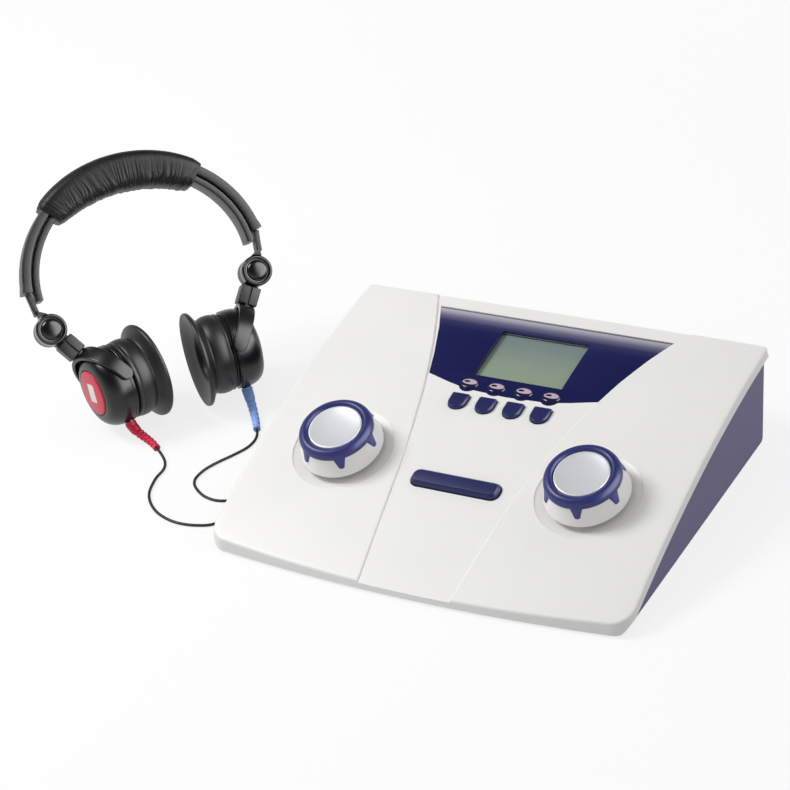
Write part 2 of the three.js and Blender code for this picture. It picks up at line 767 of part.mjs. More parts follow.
function makeKnob(side, frame, parent) {
  const name = side < 0 ? 'left' : 'right';
  parent.add(frame);
  const housing = box(encoderSide, encoderSide, encoderThick, 0, 0, -dishBossDepth - gap - encoderThick / 2);
  const bush = rod(bushRadius, -dishBossDepth - encoderThick / 2, -dishFloor - gap);
  const bore = rod(shaftRadius + gap, -shaftDepth - gap, cutOverrun);
  piece(`${name}_encoder`, cut(join(housing, bush), bore), steel, frame);
  const rotor = new THREE.Group();
  rotor.name = `${name}_knob_turn`;
  rotor.rotation.z = radians(side < 0 ? leftKnobTurn : rightKnobTurn);
  frame.add(rotor);
  const boreTop = capSeat - skirtWall - gap;
  piece(`${name}_shaft`, rod(shaftRadius, -shaftDepth, boreTop - gap), steel, rotor);
  piece(`${name}_skirt`, turned([
    [0, boreTop],
    [shaftRadius + gap, boreTop],
    [shaftRadius + gap, skirtRimHeight],
    [hubRadius, skirtRimHeight],
    [hubRadius, skirtCeiling],
    [skirtRadius(skirtCeiling) - skirtWall, skirtCeiling],
    [skirtRim - skirtWall, skirtRimHeight - 2 * gap],
    [skirtRim - gap, skirtRimHeight - 2 * gap],
    [skirtRim, skirtRimHeight],
    [skirtTopRadius, skirtTopHeight],
    [capRadius, skirtTopHeight],
    [capRadius, capSeat],
    [0, capSeat],
  ], knobSides), coverWhite, rotor);
  piece(`${name}_grip`, gripShape(), keyNavy, rotor);
  piece(`${name}_cap`, turned([
    [0, capSeat + gap],
    [capRadius - gap, capSeat + gap],
    [capRadius, capSeat + capThick - gap],
    [capRadius - 2 * gap, capSeat + capThick],
    [capRadius * 0.8, capSeat + capThick - capDish * 0.36],
    [capRadius * 0.5, capSeat + capThick - capDish * 0.75],
    [0, capSeat + capThick - capDish],
  ], knobSides), silver, rotor);
}

// Headset bands: two arcs of one ellipse family, one inside the other, under a leather pad
const bandThick = 6.5;
const bandWidth = 22;
const innerBandThick = 4.8;
const innerBandWidth = 20;
const bandGap = 0.7;
const bandEndY = 28;
const innerBandEndY = 20.5;
const bandLip = 0.8;
const bandEdge = 1.3;
const slideTurn = 9;
const slideSlotDepth = 16;
const slideThick = 2;
const slideWidth = 14;
const padHalfAngle = 42;
const padOuter = 4.7;
const padInner = 10;
const padInnerEnd = 6;
const padHalfWidth = 15;
const padRoom = 0.6;

function arcPoint(spanX, spanY, angle, depth) {
  return new THREE.Vector3(spanX * Math.cos(angle), bandCentreY + spanY * Math.sin(angle), depth);
}

function bandStart(endY, depth) {
  return Math.asin((endY - bandCentreY) / (bandHalfHeight - depth));
}

function bandArc(thick, width, depth, start, lip) {
  const spanX = bandHalfSpan - depth;
  const spanY = bandHalfHeight - depth;
  const steps = 16;
  const rings = [];
  for (let i = 0; i <= steps; i += 1) {
    const angle = THREE.MathUtils.lerp(start, Math.PI - start, i / steps);
    const flare = i === 0 || i === steps ? lip : 0;
    const half = width / 2 + flare;
    const edge = width / 2 - bandEdge;
    const section = [[flare, edge], [-bandEdge, half], [bandEdge - thick, half], [-thick, edge],
      [-thick, -edge], [bandEdge - thick, -half], [-bandEdge, -half], [flare, -edge]];
    rings.push(section.map(([out, across]) => arcPoint(spanX + out, spanY + out, angle, across)));
  }
  return skinnedFlat(rings);
}

// The pad's leather tube: rounded across, fuller in the middle and drawn in at its two ends
function padShape() {
  const steps = 14;
  const sides = 12;
  const rings = [];
  for (let i = 0; i <= steps; i += 1) {
    const share = 2 * i / steps - 1;
    const angle = Math.PI / 2 - share * radians(padHalfAngle);
    const full = Math.sqrt(1 - 0.22 * share ** 8);
    const inner = THREE.MathUtils.lerp(padInner, padInnerEnd, share * share) * full;
    const outer = padOuter * full;
    const bandDepth = bandThick + bandGap + innerBandThick;
    const ring = [];
    for (let n = 0; n < sides; n += 1) {
      const turn = 2 * Math.PI * n / sides;
      const c = Math.cos(turn);
      const s = Math.sin(turn);
      const square = 0.62;
      const out = Math.sign(s) * Math.abs(s) ** square;
      const half = (outer + inner + bandDepth) / 2;
      const radial = outer - half + out * half;
      ring.push(arcPoint(bandHalfSpan + radial, bandHalfHeight + radial, angle,
        Math.sign(c) * Math.abs(c) ** square * padHalfWidth * full));
    }
    rings.push(ring);
  }
  return skinnedFlat(rings);
}

function makeBands(parent) {
  const start = bandStart(bandEndY, bandThick / 2);
  const outer = bandArc(bandThick, bandWidth, 0, start, bandLip);
  const slots = [-1, 1].map((side) => {
    const slot = box(slideThick + 2 * gap, 2 * slideSlotDepth, slideWidth + 2 * gap);
    return slot.rotateZ(side * radians(slideTurn)).translate(side * slideMouthX, bandEndY, 0);
  });
  piece('outer_band', cut(outer, ...slots), blackPlastic, parent);
  const innerDepth = bandThick + bandGap;
  const inner = bandArc(innerBandThick, innerBandWidth, innerDepth, bandStart(innerBandEndY, innerDepth), 0);
  piece('inner_band', inner, blackPlastic, parent);
  const sleeve = bandArc(innerDepth + innerBandThick + 2 * padRoom, bandWidth + 2 * gap, -padRoom, start, 0);
  piece('head_pad', cut(padShape(), sleeve), padLeather, parent);
}

// Where the slide strip leaves the band
const slideMouthX = bandHalfSpan - bandThick / 2 - gap;

// One side of the headset. Each joint has a group at its pivot, and the geometry inside keeps the
// headset's own coordinates at rest.
const drumRadius = 10.7;
const drumFront = 10;
const drumRear = 11;
const drumSplit = 0.7;
const drumPinRadius = 3.5;
const drumDomeRadius = 7;
const drumDomeHeight = 2;
const slideInsertion = 14;
const slideFootInset = 5.3;
const slideFootX = bandHalfSpan - slideFootInset;
const slideFootY = 12;
const gussetTop = 14.5;
const gussetReach = 10;
const neckWidth = 15;
const neckThick = 15;
const neckGap = 0.6;
const swivelPinRadius = 3;
const swivelPinLength = 7;
const yokeInnerRadius = 28.6;
const yokeThick = 2.9;
const yokeWidth = 12.5;
const yokeEndWidth = 9.4;
const yokeSeat = 28;
const pivotRadius = 3;
const shellWall = 2;
const cushionDepth = 24;
const driverRadius = 14.6;
const driverDepth = 9;
const baffleThick = 2.4;
const badgeRadius = 16;
const badgeThick = 1.7;
const shellSides = 20;

function jointGroup(name, pivot, parent) {
  const outer = new THREE.Group();
  outer.name = name;
  outer.position.copy(pivot);
  parent.add(outer);
  const inner = new THREE.Group();
  inner.position.copy(pivot).negate();
  outer.add(inner);
  return { outer, inner };
}

// A shape turned about Z is laid on the cup's axis: its height runs outward from the cushion's face
function onCupAxis(geometry) {
  return geometry.rotateY(-Math.PI / 2);
}

function cushionShape() {
  const r = cushionRadius;
  const b = cupBodyRadius;
  const profile = [
    [r, 0.05 * cushionDepth],
    [0.985 * r, 0.13 * cushionDepth],
    [0.86 * r, 0.25 * cushionDepth],
    [0.93 * b, 0.38 * cushionDepth],
    [0.91 * b, 0.45 * cushionDepth],
    [0.98 * b, 0.56 * cushionDepth],
    [b, 0.75 * cushionDepth],
    [0.99 * b, 0.92 * cushionDepth],
    [0.96 * b, cushionDepth],
    [driverRadius + 1.5 * gap, cushionDepth],
    [driverRadius + 1.5 * gap, 0.58 * cushionDepth],
    [0.5 * r, 0.42 * cushionDepth],
    [0.62 * r, 0.25 * cushionDepth],
    [0.8 * r, 0.125 * cushionDepth],
    [0.92 * r, 0.04 * cushionDepth],
  ];
  return turned(profile, 24);
}

function shellShape() {
  const b = cupBodyRadius;
  const seat = cushionDepth + 1.5 * gap;
  const deep = cupDepth - seat;
  const inner = b - shellWall;
  return turned([
    [inner, seat],
    [0.975 * b, seat],
    [b, seat + 0.08 * deep],
    [b, seat + 0.28 * deep],
    [0.965 * b, seat + 0.5 * deep],
    [0.87 * b, seat + 0.72 * deep],
    [0.74 * b, seat + 0.88 * deep],
    [badgeRadius + 2 * gap, seat + 0.96 * deep],
    [badgeRadius + gap, seat + 0.93 * deep],
    [0, seat + 0.93 * deep],
    [0, seat + 0.93 * deep - shellWall],
    [0.56 * b, seat + 0.93 * deep - shellWall],
    [0.82 * b, seat + 0.6 * deep],
    [inner, seat + 0.3 * deep],
  ], shellSides);
}

function makeCup(side, colour, tilt) {
  const badgeFloor = cushionDepth + 1.5 * gap + 0.93 * (cupDepth - cushionDepth - 1.5 * gap);
  const baffleSeat = cushionDepth + gap;
  const pieces = {
    cushion: [cushionShape(), blackRubber],
    cup_shell: [shellShape(), blackPlastic],
    baffle: [
      rod(cupBodyRadius - shellWall - gap, baffleSeat, baffleSeat + baffleThick, 0, 0, shellSides),
      blackPlastic,
    ],
    driver: [rod(driverRadius, cushionDepth - driverDepth, cushionDepth, 0, 0, 20), steel],
    badge: [turned([
      [0, badgeFloor + gap],
      [badgeRadius, badgeFloor + gap],
      [badgeRadius, badgeFloor + 0.55 * badgeThick],
      [0.9 * badgeRadius, badgeFloor + 0.8 * badgeThick],
      [0, badgeFloor + badgeThick],
    ], 16), side < 0 ? badgeRed : badgeBlue],
  };
  const faceX = side * (hingeHalfSpan - cupInset - yokeSeat);
  Object.entries(pieces).forEach(([name, [geometry, material]]) => {
    const laid = side < 0 ? onCupAxis(geometry) : onCupAxis(geometry).rotateZ(Math.PI);
    laid.translate(faceX, -cupDrop, 0);
    piece(`${colour}_${name}`, name === 'cup_shell' ? withPivots(laid, side) : laid, material, tilt);
  });
  makeBoot(side, colour, tilt);
}

// The cup shell's two pivot pins, and the collar that its boot comes out of
function withPivots(shell, side) {
  const length = yokeInnerRadius + yokeThick / 2;
  const collar = rod(collarRadius, cupBodyRadius - shellWall / 2, cupBodyRadius + collarLength, 0, 0, 10)
    .rotateX(Math.PI / 2).translate(side * (hingeHalfSpan - cupInset + collarOutward), -cupDrop, 0);
  const pins = [-1, 1].map((end) => rod(
    pivotRadius, Math.min(end * length, end * (cupBodyRadius - shellWall / 2)),
    Math.max(end * length, end * (cupBodyRadius - shellWall / 2)),
    side * (hingeHalfSpan - cupInset), -cupDrop, 16));
  return join(shell, collar, ...pins);
}

// Strain relief boot: a tapered ribbed tube from the cup's collar, bending down to the cord on the table
const collarRadius = 4.4;
const collarLength = 1.5;
const collarOutward = 1.5;
const bootRadius = 4;
const bootTipRadius = 2.1;
const bootRibs = 5;
const bootRibDepth = 0.4;
const bootPull = 5;
const bootTipPull = 12;
const bootTipRise = 1.6;

function makeBoot(side, colour, parent) {
  const start = new THREE.Vector3(
    side * (hingeHalfSpan - cupInset + collarOutward), -cupDrop - cupBodyRadius - collarLength - gap, 0);
  const [first, second] = cordLine(side < 0 ? redRoute : blueRoute);
  const back = first.clone().sub(second).setZ(0).normalize();
  const tip = first.clone().addScaledVector(back, gap);
  const before = tip.clone().addScaledVector(back, bootTipPull);
  before.z += bootTipRise;
  parent.updateWorldMatrix(true, false);
  const curve = new THREE.CubicBezierCurve3(
    start, start.clone().addScaledVector(axisY, -bootPull),
    parent.worldToLocal(before), parent.worldToLocal(tip));
  const steps = 2 * bootRibs + 3;
  const frames = curve.computeFrenetFrames(steps, false);
  const rings = [];
  for (let i = 0; i <= steps; i += 1) {
    const share = i / steps;
    const ribbed = i > 1 && i < steps - 1 && i % 2 === 1;
    const radius = THREE.MathUtils.lerp(bootRadius, bootTipRadius, share) - (ribbed ? bootRibDepth : 0);
    const centre = curve.getPointAt(share);
    const ring = [];
    for (let n = 0; n < 8; n += 1) {
      const turn = 2 * Math.PI * n / 8;
      ring.push(centre.clone()
        .addScaledVector(frames.normals[i], radius * Math.cos(turn))
        .addScaledVector(frames.binormals[i], radius * Math.sin(turn)));
    }
    rings.push(ring);
  }
  piece(`${colour}_boot`, skinnedFlat(rings), side < 0 ? bootRed : bootBlue, parent);
}

function makeSide(side, parent, swivelTurn, tiltTurn) {
  const colour = side < 0 ? 'red' : 'blue';
  const hinge = new THREE.Vector3(side * hingeHalfSpan, 0, 0);
  const tiltPivot = new THREE.Vector3(side * (hingeHalfSpan - cupInset), -cupDrop, 0);
  const slideWay = new THREE.Vector3(side * Math.sin(radians(slideTurn)), -Math.cos(radians(slideTurn)), 0);
  const mouth = new THREE.Vector3(side * slideMouthX, bandEndY, 0);
  const slide = jointGroup(`${colour}_extend`, mouth, parent);
  slide.outer.userData.axis = slideWay;

  // Slide strip: straight inside the band, then bent down to the hinge drum
  const top = mouth.clone().addScaledVector(slideWay, -slideInsertion);
  const foot = new THREE.Vector3(side * slideFootX, slideFootY, 0);
  const across = new THREE.Vector3(1, 0, 0);
  const strip = skinnedFlat([top, mouth.clone().addScaledVector(slideWay, gap), foot].map((centre, i) => {
    const tilt = i < 2 ? side * radians(slideTurn) : 0;
    const half = across.clone().multiplyScalar(slideThick / 2).applyAxisAngle(axisZ, tilt);
    return [[1, 1], [-1, 1], [-1, -1], [1, -1]].map(([a, b]) => centre.clone()
      .addScaledVector(half, a).setZ(b * slideWidth / 2));
  }));
  const gussetThick = drumFront - drumSplit - 2 * gap;
  const gusset = raised([[0, gussetTop], [0, drumRadius / 2], [gussetReach, 0.84 * drumRadius]].map(
    ([inward, y]) => new THREE.Vector2(side * (slideFootX - inward), y),
  ), drumSplit + gap, drumSplit + gap + gussetThick);
  const drumRoom = rod(drumRadius + gap, -drumRear * 2, drumFront * 2, hinge.x, 0, 32);
  piece(`${colour}_slider`, join(strip, cut(gusset, drumRoom)), blackPlastic, slide.inner);

  // Hinge drum: the front disc with its dome, and the pin through the neck's knuckle
  const drum = turned([
    [0, -drumRear],
    [drumPinRadius, -drumRear],
    [drumPinRadius, drumSplit + gap],
    [drumRadius - gap, drumSplit + gap],
    [drumRadius, drumSplit + 2 * gap],
    [drumRadius, drumFront - 2 * gap],
    [drumRadius - 3 * gap, drumFront],
    [drumDomeRadius, drumFront],
    [drumDomeRadius * 0.8, drumFront + drumDomeHeight * 0.55],
    [drumDomeRadius * 0.45, drumFront + drumDomeHeight * 0.9],
    [0, drumFront + drumDomeHeight],
  ], 16);
  piece(`${colour}_hinge_drum`, drum.translate(hinge.x, 0, 0), blackPlastic, slide.inner);

  // Neck: the rear knuckle and a split block that holds the swivel pin
  const fold = jointGroup(`${colour}_fold`, hinge, slide.inner);
  const toCup = tiltPivot.clone().sub(hinge);
  const reach = toCup.length() - yokeInnerRadius - yokeThick - gap;
  const lean = Math.atan2(toCup.y, toCup.x);
  const knuckle = cut(rod(drumRadius - gap, -drumRear, drumSplit, 0, 0, 20),
    rod(drumPinRadius + gap, -drumRear * 2, drumFront));
  const start = drumRadius + neckGap;
  const block = box(reach - start, neckWidth, neckThick, (reach + start) / 2, 0, 0);
  const bridge = box(drumRadius, neckWidth * 0.7, drumRear + drumSplit - 2 * gap, drumRadius, 0,
    (drumSplit - drumRear) / 2);
  const slit = box(reach, neckWidth * 0.08, neckThick * 0.16, (reach + start) / 2, 0, neckThick / 2);
  const swivelBore = rod(swivelPinRadius + gap, -swivelPinLength - gap, cutOverrun).rotateY(Math.PI / 2)
    .translate(reach, 0, 0);
  const pinBore = rod(drumPinRadius + gap, -drumRear * 2, drumFront);
  const neck = cut(join(knuckle, block, bridge), slit, swivelBore, pinBore);
  piece(`${colour}_neck`, neck.rotateZ(lean).translate(hinge.x, 0, 0), blackPlastic, fold.inner);

  // Yoke: a half ring round the back of the cup, on the swivel pin
  const swivel = jointGroup(`${colour}_swivel`, tiltPivot, fold.inner);
  swivel.outer.userData.axis = toCup.clone().normalize();
  swivel.outer.setRotationFromAxisAngle(swivel.outer.userData.axis, swivelTurn);
  const yoke = yokeShape().rotateZ(lean + Math.PI).translate(tiltPivot.x, tiltPivot.y, 0);
  piece(`${colour}_yoke`, yoke, blackPlastic, swivel.inner);

  const tilt = jointGroup(`${colour}_tilt`, tiltPivot, swivel.inner);
  tilt.outer.rotation.z = tiltTurn;
  makeCup(side, colour, tilt.inner);
}

// The yoke about its tilt axis (Z), with the swivel pin along +X
function yokeShape() {
  const outerRadius = yokeInnerRadius + yokeThick;
  const steps = 10;
  const rings = [];
  for (let i = 0; i <= steps; i += 1) {
    const angle = THREE.MathUtils.lerp(-Math.PI / 2, Math.PI / 2, i / steps);
    const way = new THREE.Vector3(Math.cos(angle), 0, Math.sin(angle));
    const half = THREE.MathUtils.lerp(yokeEndWidth, yokeWidth, Math.cos(angle)) / 2;
    rings.push([[yokeInnerRadius, 1], [outerRadius, 1], [outerRadius, -1], [yokeInnerRadius, -1]].map(
      ([radius, edge]) => way.clone().multiplyScalar(radius).setY(edge * half)));
  }
  const ends = [-1, 1].map((end) => rod(yokeEndWidth / 2, Math.min(end * yokeInnerRadius, end * outerRadius),
    Math.max(end * yokeInnerRadius, end * outerRadius), 0, 0, 12));
  const pin = rod(swivelPinRadius, yokeInnerRadius + yokeThick / 2, outerRadius + gap + swivelPinLength)
    .rotateY(Math.PI / 2);
  const pivotDepth = yokeInnerRadius + yokeThick / 2 + gap;
  const pivots = rod(pivotRadius + gap, -pivotDepth, pivotDepth, 0, 0, 16);
  return cut(join(skinnedFlat(rings), pin, ...ends), pivots);
}

// Cords. The routes are in the console's frame, on the table, from the boots to the moulded split, and
// behind the console from the coil to the plug.
const branchRadius = 1;
const leadRadius = 1.75;
const branchSides = 8;
const redRoute = [
  [-241.3, -27.3], [-234.6, -32.2], [-227.7, -38.8], [-223.9, -46.1], [-222.7, -58], [-217.5, -73.9],
  [-210.3, -83.6], [-199.8, -91.9], [-187.3, -96.9], [-177.4, -98.1], [-166.6, -96.6], [-157, -92.4],
  [-151.6, -84], [-150.3, -72], [-150.3, -20], [-150.3, 40], [-150.3, 86], [-149.4, 98], [-146.3, 107],
  [-142.2, 112], [-139.4, 114.2], [-138.8, 116.4],
];
const blueRoute = [
  [-187.3, 14.8], [-184.2, 9.8], [-182.6, 4], [-182.7, -5], [-187, -16.2], [-192.7, -27.7], [-196.4, -38.4],
  [-196.6, -49.4], [-193.6, -55.6], [-187.2, -61.4], [-178.2, -66.2], [-168, -67.4], [-159.6, -63.6],
  [-155.6, -55], [-154.6, -43], [-154.6, 0], [-154.6, 50], [-154.4, 84], [-152.8, 97], [-149.2, 106.6],
  [-144.4, 112.6], [-143.2, 116.4],
];
const coilCentreX = -116.5;
const coilCentreY = 145;
const coilInnerRadius = 16.5;
const coilPitch = 4;
const coilLayerRise = 4;
const coilLayers = 4;
const coilLayerTurns = 2;
const coilLoopSteps = 24;
const coilSides = 6;
const coilLeadIn = 8;
const tailRoute = [
  [-112.7, 170.5, 13.9], [-108.9, 170.5, 13.95], [-100.5, 169.2, 15.2], [-92.5, 164.4, 18.2],
  [-87.6, 157.6, 21.4], [-86, 150.5, 23.6], [-86, 146.9, 23.85], [-86, 143.45, 24.1],
];
const splitLength = 20;
const splitWidth = 9;
const splitNeck = 5.4;
const splitHeight = 4.6;
const plugHandleRadius = 5.5;
const plugLength = 34;

// A branch cord lies on the table, and its first points rise to the tip of its boot
function cordLine(route) {
  const lay = branchRadius + tableGap;
  const rise = bootTipRadius + tableGap - lay;
  return route.map(([x, y], i) => new THREE.Vector3(
    x, y, lay + (i === 0 ? rise : 0) + (i === 1 ? rise / 2 : 0)));
}

function cordTube(points, radius, steps) {
  const curve = new THREE.CatmullRomCurve3(points, false, 'centripetal');
  const section = new THREE.Shape();
  for (let i = 0; i < branchSides; i += 1) {
    const turn = 2 * Math.PI * (i + 0.5) / branchSides;
    section[i === 0 ? 'moveTo' : 'lineTo'](radius * Math.cos(turn), radius * Math.sin(turn));
  }
  return closed(new THREE.ExtrudeGeometry(section, { steps, extrudePath: curve, bevelEnabled: false }));
}

// The coil's centre line: clockwise from above, in and out again, climbing a layer at each reversal
function coilPoint(turns) {
  const layer = Math.min(Math.floor(turns / coilLayerTurns), coilLayers - 1);
  const along = turns - layer * coilLayerTurns;
  const inward = layer % 2 === 0 ? coilLayerTurns - along : along;
  const radius = coilInnerRadius + coilPitch * inward;
  let climb = 0;
  for (let k = 1; k < coilLayers; k += 1) {
    climb += THREE.MathUtils.clamp((turns - k * coilLayerTurns + 0.25) / 0.5, 0, 1);
  }
  const angle = Math.PI - 2 * Math.PI * turns;
  return {
    centre: new THREE.Vector3(
      coilCentreX + radius * Math.cos(angle),
      coilCentreY + radius * Math.sin(angle),
      leadRadius + tableGap + coilLayerRise * climb,
    ),
    radial: new THREE.Vector3(Math.cos(angle), Math.sin(angle), 0),
  };
}

function coilShape() {
  const turns = coilLayers * coilLayerTurns + 0.25;
  const steps = Math.round(turns * coilLoopSteps);
  const spots = [];
  for (let i = 0; i <= steps; i += 1) {
    spots.push(coilPoint(turns * i / steps));
  }
  const first = { centre: spots[0].centre.clone(), radial: spots[0].radial };
  first.centre.y -= coilLeadIn;
  const last = { centre: spots[steps].centre.clone(), radial: spots[steps].radial };
  last.centre.x += 2 * leadRadius;
  const line = [first, ...spots, last];
  let least = Infinity;
  spots.forEach((spot, i) => {
    for (let j = i + coilLoopSteps / 2; j < spots.length; j += 1) {
      least = Math.min(least, spot.centre.distanceTo(spots[j].centre) - 2 * leadRadius);
    }
  });
  console.log('least gap of the coil to itself', least.toFixed(2), 'mm');
  return skinnedFlat(line.map(({ centre, radial }) => {
    const ring = [];
    for (let n = 0; n < coilSides; n += 1) {
      const turn = 2 * Math.PI * n / coilSides;
      ring.push(centre.clone()
        .addScaledVector(radial, leadRadius * Math.cos(turn))
        .addScaledVector(axisZ, leadRadius * Math.sin(turn)));
    }
    return ring;
  }));
}

function makeCords(parent) {
  piece('red_cord', cordTube(cordLine(redRoute), branchRadius, 30), cordBlack, parent);
  piece('blue_cord', cordTube(cordLine(blueRoute), branchRadius, 28), cordBlack, parent);
  piece('lead_coil', coilShape(), cordBlack, parent);
  const tailLine = tailRoute.map((place) => new THREE.Vector3(...place));
  piece('lead_tail', cordTube(tailLine, leadRadius, 8), cordBlack, parent);
  const splitX = coilCentreX - coilInnerRadius - coilPitch * coilLayerTurns;
  const splitEnd = coilCentreY - coilLeadIn - gap;
  const splitStart = splitEnd - splitLength;
  const outline = [
    [splitX - splitWidth / 2, splitStart],
    [splitX + splitWidth / 2, splitStart],
    [splitX + splitWidth / 2, splitStart + 0.45 * splitLength],
    [splitX + splitNeck / 2, splitEnd],
    [splitX - splitNeck / 2, splitEnd],
    [splitX - splitWidth / 2, splitStart + 0.45 * splitLength],
  ].map(([x, y]) => new THREE.Vector2(x, y));
  piece('cord_split', raised(outline, tableGap, tableGap + splitHeight), blackRubber, parent);
  const rear = new THREE.Group();
  rear.position.copy(rearFrame.position);
  rear.rotation.copy(rearFrame.rotation);
  parent.add(rear);
  const shoulder = socketFlangeThick + 2 * gap;
  const plug = turned([
    [0, -plugPinLength],
    [plugPinRadius * 0.5, -plugPinLength],
    [plugPinRadius, -plugPinLength + plugPinRadius],
    [plugPinRadius, shoulder],
    [plugHandleRadius, shoulder],
    [plugHandleRadius, 0.6 * plugLength],
    [leadRadius * 1.6, plugLength],
    [0, plugLength],
  ], 16);
  piece('headset_plug', plug.rotateX(-Math.PI / 2).translate(socketX, 0, socketHeight), blackPlastic, rear);
}

const audiometer = new THREE.Group();
makeTopCover(audiometer);
makeBaseShell(audiometer);
makeFastenersAndFeet(audiometer);
makeRearFittings(audiometer);
makeDisplay(audiometer);
makeKeys(audiometer);
knobFrames.forEach((frame, i) => makeKnob(i === 0 ? -1 : 1, frame, audiometer));

// The headset leans back on the rims of its two cushions
const turn = radians(headsetTurn);
const leanBack = radians(headsetLean);
const along = new THREE.Vector3(Math.cos(turn), Math.sin(turn), 0);
const bandUp = new THREE.Vector3(-Math.sin(turn), Math.cos(turn), 0).multiplyScalar(Math.sin(leanBack))
  .addScaledVector(axisZ, Math.cos(leanBack));
const headset = new THREE.Group();
headset.name = 'headset_lift';
headset.position.set(headsetPlaceX, headsetPlaceY, cushionRadius + tableGap + cupDrop * Math.cos(leanBack));
headset.quaternion.setFromRotationMatrix(
  new THREE.Matrix4().makeBasis(along, bandUp, along.clone().cross(bandUp)));
audiometer.add(headset);
makeBands(headset);

makeSide(-1, headset, radians(redSwivelTurn), radians(redTiltTurn));
makeSide(1, headset, 0, 0);

// The part's origin is under the middle of the console and headset together, at the height of the table
audiometer.updateMatrixWorld(true);
const extentMiddle = new THREE.Box3().setFromObject(audiometer, true).getCenter(new THREE.Vector3());
makeCords(audiometer);
audiometer.children.forEach((child) => {
  child.position.x -= extentMiddle.x;
  child.position.y -= extentMiddle.y;
});

export default audiometer;
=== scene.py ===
"""Desk audiometer: a wedge-shaped console with two rotary knobs, soft keys, a talk bar and a display, and
the folding headset that plugs into its back. Every size below is in millimetres about the console's
middle, with Z up from the table, and is turned into the row's metres when a piece is placed."""

import json
import math

import bmesh
import bpy
from mathutils import Matrix, Vector, noise

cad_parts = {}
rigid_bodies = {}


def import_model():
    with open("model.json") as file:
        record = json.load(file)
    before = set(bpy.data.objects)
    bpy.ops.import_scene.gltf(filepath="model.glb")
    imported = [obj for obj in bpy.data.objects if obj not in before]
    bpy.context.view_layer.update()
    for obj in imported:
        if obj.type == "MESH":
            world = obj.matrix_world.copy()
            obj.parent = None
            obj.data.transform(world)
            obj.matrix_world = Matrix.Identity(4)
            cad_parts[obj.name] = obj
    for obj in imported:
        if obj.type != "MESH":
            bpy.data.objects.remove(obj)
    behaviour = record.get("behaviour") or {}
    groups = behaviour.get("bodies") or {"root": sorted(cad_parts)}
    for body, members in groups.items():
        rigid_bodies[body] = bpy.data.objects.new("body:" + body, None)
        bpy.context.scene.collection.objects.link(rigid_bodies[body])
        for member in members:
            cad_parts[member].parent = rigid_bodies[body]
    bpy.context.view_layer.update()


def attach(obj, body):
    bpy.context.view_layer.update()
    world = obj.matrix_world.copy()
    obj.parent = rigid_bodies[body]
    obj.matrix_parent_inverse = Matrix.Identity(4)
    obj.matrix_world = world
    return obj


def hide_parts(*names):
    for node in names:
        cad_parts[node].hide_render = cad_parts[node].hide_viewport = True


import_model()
scene = bpy.context.scene

# The camera stands in front of the console and to its right, and looks down at it through a long lens,
# with a small roll. The place was found from the console's edges in the photograph.
CONSOLE_AT = Vector((0.104264, -0.000973, 0))
TO_ROW = Matrix.Translation(CONSOLE_AT) @ Matrix.Scale(0.001, 4)
CAMERA_AT = Vector((695.0, -1193.0, 911.0))
LENS_LENGTH = 117.59
turn, height, roll = (math.radians(angle) for angle in (32.474, 30.996, -7.914))
look_right = Vector((math.cos(turn), math.sin(turn), 0))
look_back = Vector((math.sin(turn) * math.cos(height), -math.cos(turn) * math.cos(height), math.sin(height)))
look_up = look_back.cross(look_right)
rolled_right = math.cos(roll) * look_right + math.sin(roll) * look_up
rolled_up = math.cos(roll) * look_up - math.sin(roll) * look_right
camera = bpy.data.objects.new("camera", bpy.data.cameras.new("camera"))
camera.data.lens = LENS_LENGTH
camera.data.sensor_width = 36
camera.data.clip_end = 20
camera_place = Matrix((rolled_right, rolled_up, look_back)).transposed().to_4x4()
camera_place.translation = TO_ROW @ CAMERA_AT
camera.matrix_world = camera_place
scene.collection.objects.link(camera)
scene.camera = camera
scene.view_settings.view_transform = "Standard"


# Base shell: a navy ABS tray with side walls drawn in towards the foot, a rear wall that leans out and a
# rounded heel. It is moulded in one piece with the openings for the rear fittings, and screws hold the cover
# to it from below.
HALF_WIDTH, HALF_DEPTH = 145.0, 115.5
FRONT_EDGE, REAR_EDGE, CROWN = 9.8, 68.0, 10.0
FRONT_BULGE, REAR_BULGE = 7.5, 0.8
FRONT_CORNER, REAR_CORNER, LEAST_CORNER = 13.0, 3.5, 1.0
WALL, TRAY_WALL, GAP = 3.0, 2.2, 0.3
TRAY_BOTTOM, FOOT_INSET, HEEL = 1.5, 8.0, 3.0
TRAY_FRONT_HEIGHT = 2.6
REAR_LEAN = math.atan(4 / 66.5)
rear_place = Matrix.Translation((0, HALF_DEPTH - FOOT_INSET, TRAY_BOTTOM))
rear_place = rear_place @ Matrix.Rotation(-REAR_LEAN, 4, "X")
SOCKET_X, ROCKER_X, INLET_X, FITTING_HEIGHT = -86.0, 62.0, 96.0, 25.0


def srgb(code):
    """A written colour such as #262a66 as the linear values that a shader takes."""
    parts = [int(code[i : i + 2], 16) / 255 for i in (1, 3, 5)]
    return [part / 12.92 if part <= 0.04045 else ((part + 0.055) / 1.055) ** 2.4 for part in parts] + [1]


def add_node(tree, kind, inputs=None, **settings):
    """One node with its settings, and each input set or linked."""
    node = tree.nodes.new(kind)
    for name, value in settings.items():
        setattr(node, name, value)
    for socket, value in (inputs or {}).items():
        if isinstance(value, bpy.types.NodeSocket):
            tree.links.new(value, node.inputs[socket])
        else:
            node.inputs[socket].default_value = value
    return node


